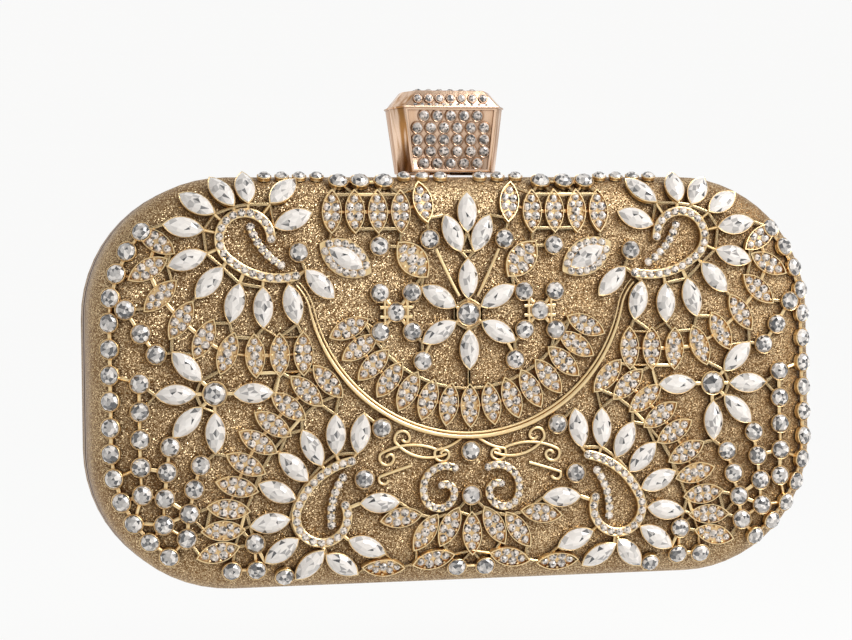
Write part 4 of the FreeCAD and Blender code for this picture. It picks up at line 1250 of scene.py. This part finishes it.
class CLUTCH_OT_wirework(bpy.types.Operator):
    """Garland band, scrolls, stems and the bars that join the settings"""

    bl_idname = "clutch.add_wirework"
    bl_label = "Wirework"

    def execute(self, context):
        self.garland()
        self.scrolls()
        self.bars()
        return {"FINISHED"}

    def garland(self):
        """Two smooth wires side by side, on past the ends of the cast band to thin tips."""
        low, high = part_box("garland_band")
        cos_end, sin_end = math.cos(math.radians(BAND_END_ANGLE)), math.sin(math.radians(BAND_END_ANGLE))
        radius = high.x / cos_end - sizes().garland_half
        centre_z = low.z + radius + sizes().garland_half
        end_x, end_z = radius * cos_end, centre_z - radius * sin_end
        middle, tip = [(end_x + radius * out, end_z + radius * up) for out, up in BAND_TIP_SHARES]
        arcs = [((-tip[0], tip[1]), (-middle[0], middle[1]), (-end_x, end_z)),
                ((-end_x, end_z), (0, centre_z - radius), (end_x, end_z)), ((end_x, end_z), middle, tip)]
        run = run_along(arcs, sizes().run_step)
        lift = FACE - low.y - sizes().strand
        shape = bmesh.new()
        add_wires(shape, [lifted(run, lift, sizes().thin_strand)], sizes().strand, ends=BAND_THIN_SHARE)
        add_wires(shape, [lifted(run, lift, -sizes().strand)], sizes().thin_strand, ends=BAND_THIN_SHARE)
        add_gilt("garland_wires", shape, ["garland_band"], WIRE_SMOOTH)

    def scrolls(self):
        """Thin scrolls that end in curls, left and right."""
        shape = bmesh.new()
        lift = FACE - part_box("scroll_wires")[0].y - sizes().stem
        for mirror in (False, True):
            for arcs, place in SCROLLS:
                run = run_along(curled(arcs, place, sizes().scroll_radius, 0, mirror), sizes().run_step)
                add_wires(shape, [lifted(run, lift)], sizes().stem)
        add_gilt("scroll_curls", shape, ["scroll_wires"], WIRE_SMOOTH)

    def bars(self):
        """Bars between leaves, cups and flowers, the finer wires, and the stems."""
        shape = bmesh.new()
        runs = []
        for name in LINKED_NODES:
            runs += linked(seats(name), sizes().link_reach, sizes().leaf_link_rise)
        for motif in ("edge", "cluster"):
            runs += linked(round_seats(motif), sizes().cup_reach, sizes().link_rise)
        centres = [seat.matrix.translation for seat in seats("flower_centre_settings")]
        for name in ("centre_flower_settings", "side_flower_settings"):
            for seat in seats(name):
                start = seat.matrix.translation
                centre = min(centres, key=lambda c: (c - start).length)
                runs.append([start + OUT * sizes().link_rise, centre + OUT * sizes().link_rise])
        runs += self.ties_to_paisleys()
        add_wires(shape, runs, sizes().link, rounds=1)
        add_wires(shape, self.lattices() + self.web(), sizes().tie, rounds=1)
        stems = []
        for stem in STEM_SHARES:
            for side in (-1, 1):
                arc = [(side * x * HALF_WIDTH, HEIGHT * z) for x, z in stem]
                stems.append(lifted(run_along([arc], sizes().run_step), sizes().stem_rise))
        add_wires(shape, stems, sizes().stem)
        add_gilt("joining_bars", shape, (), WIRE_SMOOTH)

    def tips(self, seat):
        """The two points of a leaf or a marquise, at the height of the bars."""
        return [seat.matrix @ Vector((end * seat.length / 2, 0, sizes().link_rise)) for end in (-1, 1)]

    def ties_to_paisleys(self):
        """Short bars from the marquises of the sunbursts to the nearest place on a paisley band."""
        runs = []
        for name, place, turn, flip in (("upper", UPPER_PAISLEY_SHARES, 0, True),
                                        ("lower", LOWER_PAISLEY_SHARES, LOWER_PAISLEY_ANGLE, False)):
            bands = []
            for mirror in (False, True):
                arcs = curled(drop_arcs(flip), place, sizes().paisley_head, turn, mirror)
                bands += lifted(run_along(arcs, sizes().run_step), sizes().link_rise)
            for seat in seats(name + "_sunburst_settings"):
                pairs = [[tip, spot] for tip in self.tips(seat) for spot in bands]
                runs.append(min(pairs, key=lambda pair: (pair[1] - pair[0]).length))
        return runs

    def web(self):
        """Thin wires from the points of leaves and marquises, and from the cups, to their neighbours."""
        pieces = []
        for name in POINTED_NODES:
            pieces += [self.tips(seat) for seat in seats(name)]
        for motif in ("edge", "cluster"):
            pieces += [[seat.matrix @ Vector((0, 0, sizes().link_rise))] for seat in round_seats(motif)]
        runs = []
        for index, points in enumerate(pieces):
            for point in points:
                near = [other for place, others in enumerate(pieces) if place != index for other in others
                        if (other - point).length < sizes().web_reach]
                near.sort(key=lambda other: (other - point).length)
                runs += [[point, other] for other in near[:WEB_NEIGHBOURS]]
        return runs

    def lattices(self):
        """Thin upright and level wires through each group of five cups."""
        runs = []
        for side in (-1, 1):
            heart = Vector((side * CLUSTER_SHARES[0] * HALF_WIDTH, FACE, HEIGHT * CLUSTER_SHARES[1]))
            spots = [seat.matrix.translation for seat in seats("cluster_settings")]
            spots = [spot for spot in spots if (spot - heart).length < sizes().cluster]
            low_x, high_x = min(spot.x for spot in spots), max(spot.x for spot in spots)
            low_z, high_z = min(spot.z for spot in spots), max(spot.z for spot in spots)
            level = FACE - sizes().stem_rise
            middle = (low_z + high_z) / 2
            for x in (low_x + sizes().lattice_inset, high_x - sizes().lattice_inset):
                runs.append([Vector((x, level, low_z)), Vector((x, level, high_z))])
            for z in (middle - sizes().lattice_gap, middle + sizes().lattice_gap):
                runs.append([Vector((low_x, level, z)), Vector((high_x, level, z))])
        return runs


class CLUTCH_OT_knob(bpy.types.Operator):
    """Rose gold knob with softened edges and its stones in rims"""

    bl_idname = "clutch.add_knob"
    bl_label = "Knob"

    def execute(self, context):
        shape = bmesh.new()
        shape.from_mesh(frame["nodes"]["knob_body"].data)
        bmesh.ops.remove_doubles(shape, verts=shape.verts, dist=WELD)
        merge_flat(shape, KNOB_FLAT)
        sharp = [edge for edge in shape.edges if edge.is_manifold and edge.calc_length() > KNOB_SHORT_EDGE
                 and edge.calc_face_angle() > math.radians(KNOB_SHARP)]
        bmesh.ops.bevel(shape, geom=sharp, offset=sizes().edge, segments=KNOB_STEPS, profile=0.5,
                        affect="EDGES", material=-1, clamp_overlap=True)
        add_piece("knob_casting", shape, rose_gilt(), "clasp", ["knob_body"], KNOB_SMOOTH)
        luck = random.Random(KNOB_SEED)
        glass = bmesh.new()
        metalwork = bmesh.new()
        self.lip(metalwork)
        for seat in seats("knob_stones", from_foot=True):
            width = seat.length * KNOB_STONE_GROW_SHARE
            stone = cut_stone("knob_stone", ROUND_SHARES, width, width, seat.height, False,
                              ROUND_FACET_SHARES, luck.randint(*KNOB_STONE_SEEDS))
            stamp(glass, stone, seat.matrix @ spun(luck))
            bpy.data.meshes.remove(stone)
            collar = width + 2 * sizes().rim
            rim = ring_profile("knob_rim", collar, collar, seat.height, KNOB_RIM_SHARES, False, RIM_SIDES)
            stamp(metalwork, rim, seat.matrix)
            bpy.data.meshes.remove(rim)
        self.crown_rows(glass, luck)
        add_piece("knob_crystals", glass, knob_crystal(), "clasp", ["knob_stones"])
        add_piece("knob_rims", metalwork, rose_gilt(), "clasp", (), CAST_SMOOTH)
        return {"FINISHED"}

    def lip(self, metalwork):
        """Thin bead round the knob where the body meets the crown."""
        low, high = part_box("knob_body")
        level = high.z - sizes().crown_rise
        cut_x, cut_y = high.x - sizes().knob_cut_x, sizes().knob_cut_y
        corners = [(-cut_x, low.y), (cut_x, low.y), (high.x, low.y + cut_y), (high.x, high.y - cut_y),
                   (cut_x, high.y), (-cut_x, high.y), (low.x, high.y - cut_y), (low.x, low.y + cut_y)]
        points = [Vector((x, y, level)) for x, y in corners + corners[:2]]
        add_wires(metalwork, [points], sizes().lip)

    def crown_rows(self, glass, luck):
        """Rows of small stones above and below the large ones on the front of the crown."""
        low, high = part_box("knob_body")
        width = sizes().crown_stone
        slope = Vector((0, sizes().crown_run, sizes().crown_rise))
        out = Vector((0, -sizes().crown_rise, sizes().crown_run)).normalized()
        turn = laid(Vector((1, 0, 0)), out)
        half = high.x - sizes().crown_inset
        count = int(2 * half / (width * CROWN_PITCH_SHARE))
        for share in CROWN_ROW_SHARES:
            for index in range(count + 1):
                x = -half + 2 * half * index / count
                spot = Vector((x, low.y, high.z - sizes().crown_rise)) + slope * share
                stone = cut_stone("crown_stone", PAVE_SHARES, width, width, sizes().pave_crown / 2, False,
                                  ROUND_FACET_SHARES, luck.randint(*KNOB_STONE_SEEDS))
                stamp(glass, stone, Matrix.Translation(spot) @ turn)
                bpy.data.meshes.remove(stone)


class CLUTCH_OT_stage(bpy.types.Operator):
    """Pale floor and backdrop, soft light and the camera"""

    bl_idname = "clutch.add_stage"
    bl_label = "Stage"

    def execute(self, context):
        stage = context.scene.clutch_stage
        self.sweep()
        self.world(context)
        self.lamp("key_lamp", stage.key, KEY_WIDTH, KEY_PLACE)
        self.lamp("fill_lamp", stage.fill, FILL_WIDTH, FILL_PLACE)
        self.camera(context, stage)
        context.scene.view_settings.view_transform = "Standard"
        return {"FINISHED"}

    def sweep(self):
        """Floor that curves up into a backdrop, low enough for the front half to open over it."""
        shape = bmesh.new()
        made = bmesh.ops.create_grid(shape, x_segments=1, y_segments=1, size=SWEEP_REACH)["verts"]
        bmesh.ops.translate(shape, vec=(0, 0, -sizes().floor_drop), verts=made)
        far = [edge for edge in shape.edges if all(vert.co.y > 0 for vert in edge.verts)]
        bend = bmesh.ops.spin(shape, geom=far, cent=(0, SWEEP_REACH, SWEEP_RADIUS), axis=(1, 0, 0),
                              dvec=(0, 0, 0), angle=math.pi / 2, steps=SWEEP_STEPS, use_merge=False,
                              use_duplicate=False)["geom_last"]
        edges = [item for item in bend if isinstance(item, bmesh.types.BMEdge)]
        top = bmesh.ops.extrude_edge_only(shape, edges=edges)["geom"]
        verts = [item for item in top if isinstance(item, bmesh.types.BMVert)]
        bmesh.ops.translate(shape, vec=(0, 0, SWEEP_RISE), verts=verts)
        mesh = bpy.data.meshes.new("studio_sweep")
        shape.to_mesh(mesh)
        shape.free()
        material = bpy.data.materials.new("studio_paper")
        material.use_nodes = True
        tree = material.node_tree
        tree.nodes.clear()
        f = Finish(tree)
        paper = f.noise(scale=14.0)
        tone = f.blend(paper * PAPER_TONE_SHARE, colours().floor, (1.0, 1.0, 1.0))
        matt = f.add("BsdfDiffuse", {}, {"Color": tone})
        lit = f.add("Emission", {}, {"Color": tone, "Strength": 1.0})
        seen = f.add("LightPath", {}, {}, "Is Camera Ray") + f.add("LightPath", {}, {}, "Is Glossy Ray")
        seen = seen + f.add("LightPath", {}, {}, "Is Transmission Ray")
        mixed = f.add("MixShader", {}, {0: seen * SWEEP_WHITE_SHARE, 1: matt, 2: lit})
        output = tree.nodes.new("ShaderNodeOutputMaterial")
        tree.links.new(mixed.socket, output.inputs["Surface"])
        mesh.materials.append(material)
        floor = bpy.data.objects.new("studio_sweep", mesh)
        bpy.context.scene.collection.objects.link(floor)

    def world(self, context):
        """White behind and above the clutch, a dimmer room in front of it."""
        world = bpy.data.worlds.new("studio_room")
        context.scene.world = world
        world.use_nodes = True
        tree = world.node_tree
        f = Finish(tree)
        way = f.add("TexCoord", {}, {}, "Generated")
        depth = f.add("SeparateXYZ", {}, {"Vector": way}, "Y")
        height = f.add("SeparateXYZ", {}, {"Vector": way}, "Z")
        behind = depth * ROOM_DEPTH_SHARE + height * ROOM_HEIGHT_SHARE + ROOM_MIDDLE_SHARE
        level = f.add("ValToRGB", {"stops": ROOM_SHARES}, {"Fac": behind})
        shine = tree.nodes["Background"]
        feed(tree, level, shine.inputs["Color"])
        shine.inputs["Strength"].default_value = ROOM_STRENGTH

    def lamp(self, name, power, width, spot):
        """Square lamp turned towards the middle of the case."""
        lamp = bpy.data.lights.new(name, "AREA")
        lamp.energy = power
        lamp.size = width
        holder = bpy.data.objects.new(name, lamp)
        bpy.context.scene.collection.objects.link(holder)
        aim = Vector((0, 0, HEIGHT / 2)) - spot
        holder.matrix_world = Matrix.Translation(spot) @ aim.to_track_quat("-Z", "Y").to_matrix().to_4x4()

    def camera(self, context, stage):
        """Camera at the photograph's viewing angle."""
        level = math.cos(stage.pitch)
        back = Vector((-math.sin(stage.yaw) * level, -math.cos(stage.yaw) * level, math.sin(stage.pitch)))
        right = Vector((0, 0, 1)).cross(back).normalized()
        up = back.cross(right)
        side = right * math.cos(stage.roll) + up * math.sin(stage.roll)
        look = Vector((stage.look_x, FACE + stage.look_depth, stage.look_z))
        camera = bpy.data.cameras.new("photo_camera")
        camera.sensor_fit = "HORIZONTAL"
        camera.sensor_width = FILM_WIDTH
        camera.lens = stage.lens
        camera.clip_start = NEAR_CLIP
        holder = bpy.data.objects.new("photo_camera", camera)
        context.scene.collection.objects.link(holder)
        holder.matrix_world = Matrix.Translation(look + back * stage.distance) @ laid(side, back)
        context.scene.camera = holder


class CLUTCH_PT_panel(bpy.types.Panel):
    """The steps that dress the clutch"""

    bl_label = "Clutch"
    bl_idname = "CLUTCH_PT_panel"
    bl_space_type = "VIEW_3D"
    bl_region_type = "UI"
    bl_category = "Clutch"

    def draw(self, context):
        for step in STEPS:
            self.layout.operator(step.bl_idname)


STEPS = (CLUTCH_OT_case, CLUTCH_OT_covers, CLUTCH_OT_marquises, CLUTCH_OT_rounds, CLUTCH_OT_leaves,
         CLUTCH_OT_bands, CLUTCH_OT_wirework, CLUTCH_OT_knob, CLUTCH_OT_stage)
GROUPS = (("clutch_sizes", ClutchSizes), ("clutch_colours", ClutchColours), ("clutch_stage", ClutchStage))


def register():
    for name, group in GROUPS:
        bpy.utils.register_class(group)
        setattr(bpy.types.Scene, name, PointerProperty(type=group))
    for step in STEPS:
        bpy.utils.register_class(step)
    bpy.utils.register_class(CLUTCH_PT_panel)


def unregister():
    bpy.utils.unregister_class(CLUTCH_PT_panel)
    for step in reversed(STEPS):
        bpy.utils.unregister_class(step)
    for name, group in reversed(GROUPS):
        delattr(bpy.types.Scene, name)
        bpy.utils.unregister_class(group)


def main():
    register()
    bpy.ops.clutch.add_case()
    bpy.ops.clutch.add_covers()
    bpy.ops.clutch.add_marquises()
    bpy.ops.clutch.add_rounds()
    bpy.ops.clutch.add_leaves()
    bpy.ops.clutch.add_bands()
    bpy.ops.clutch.add_wirework()
    bpy.ops.clutch.add_knob()
    bpy.ops.clutch.add_stage()


if __name__ == "__main__":
    main()
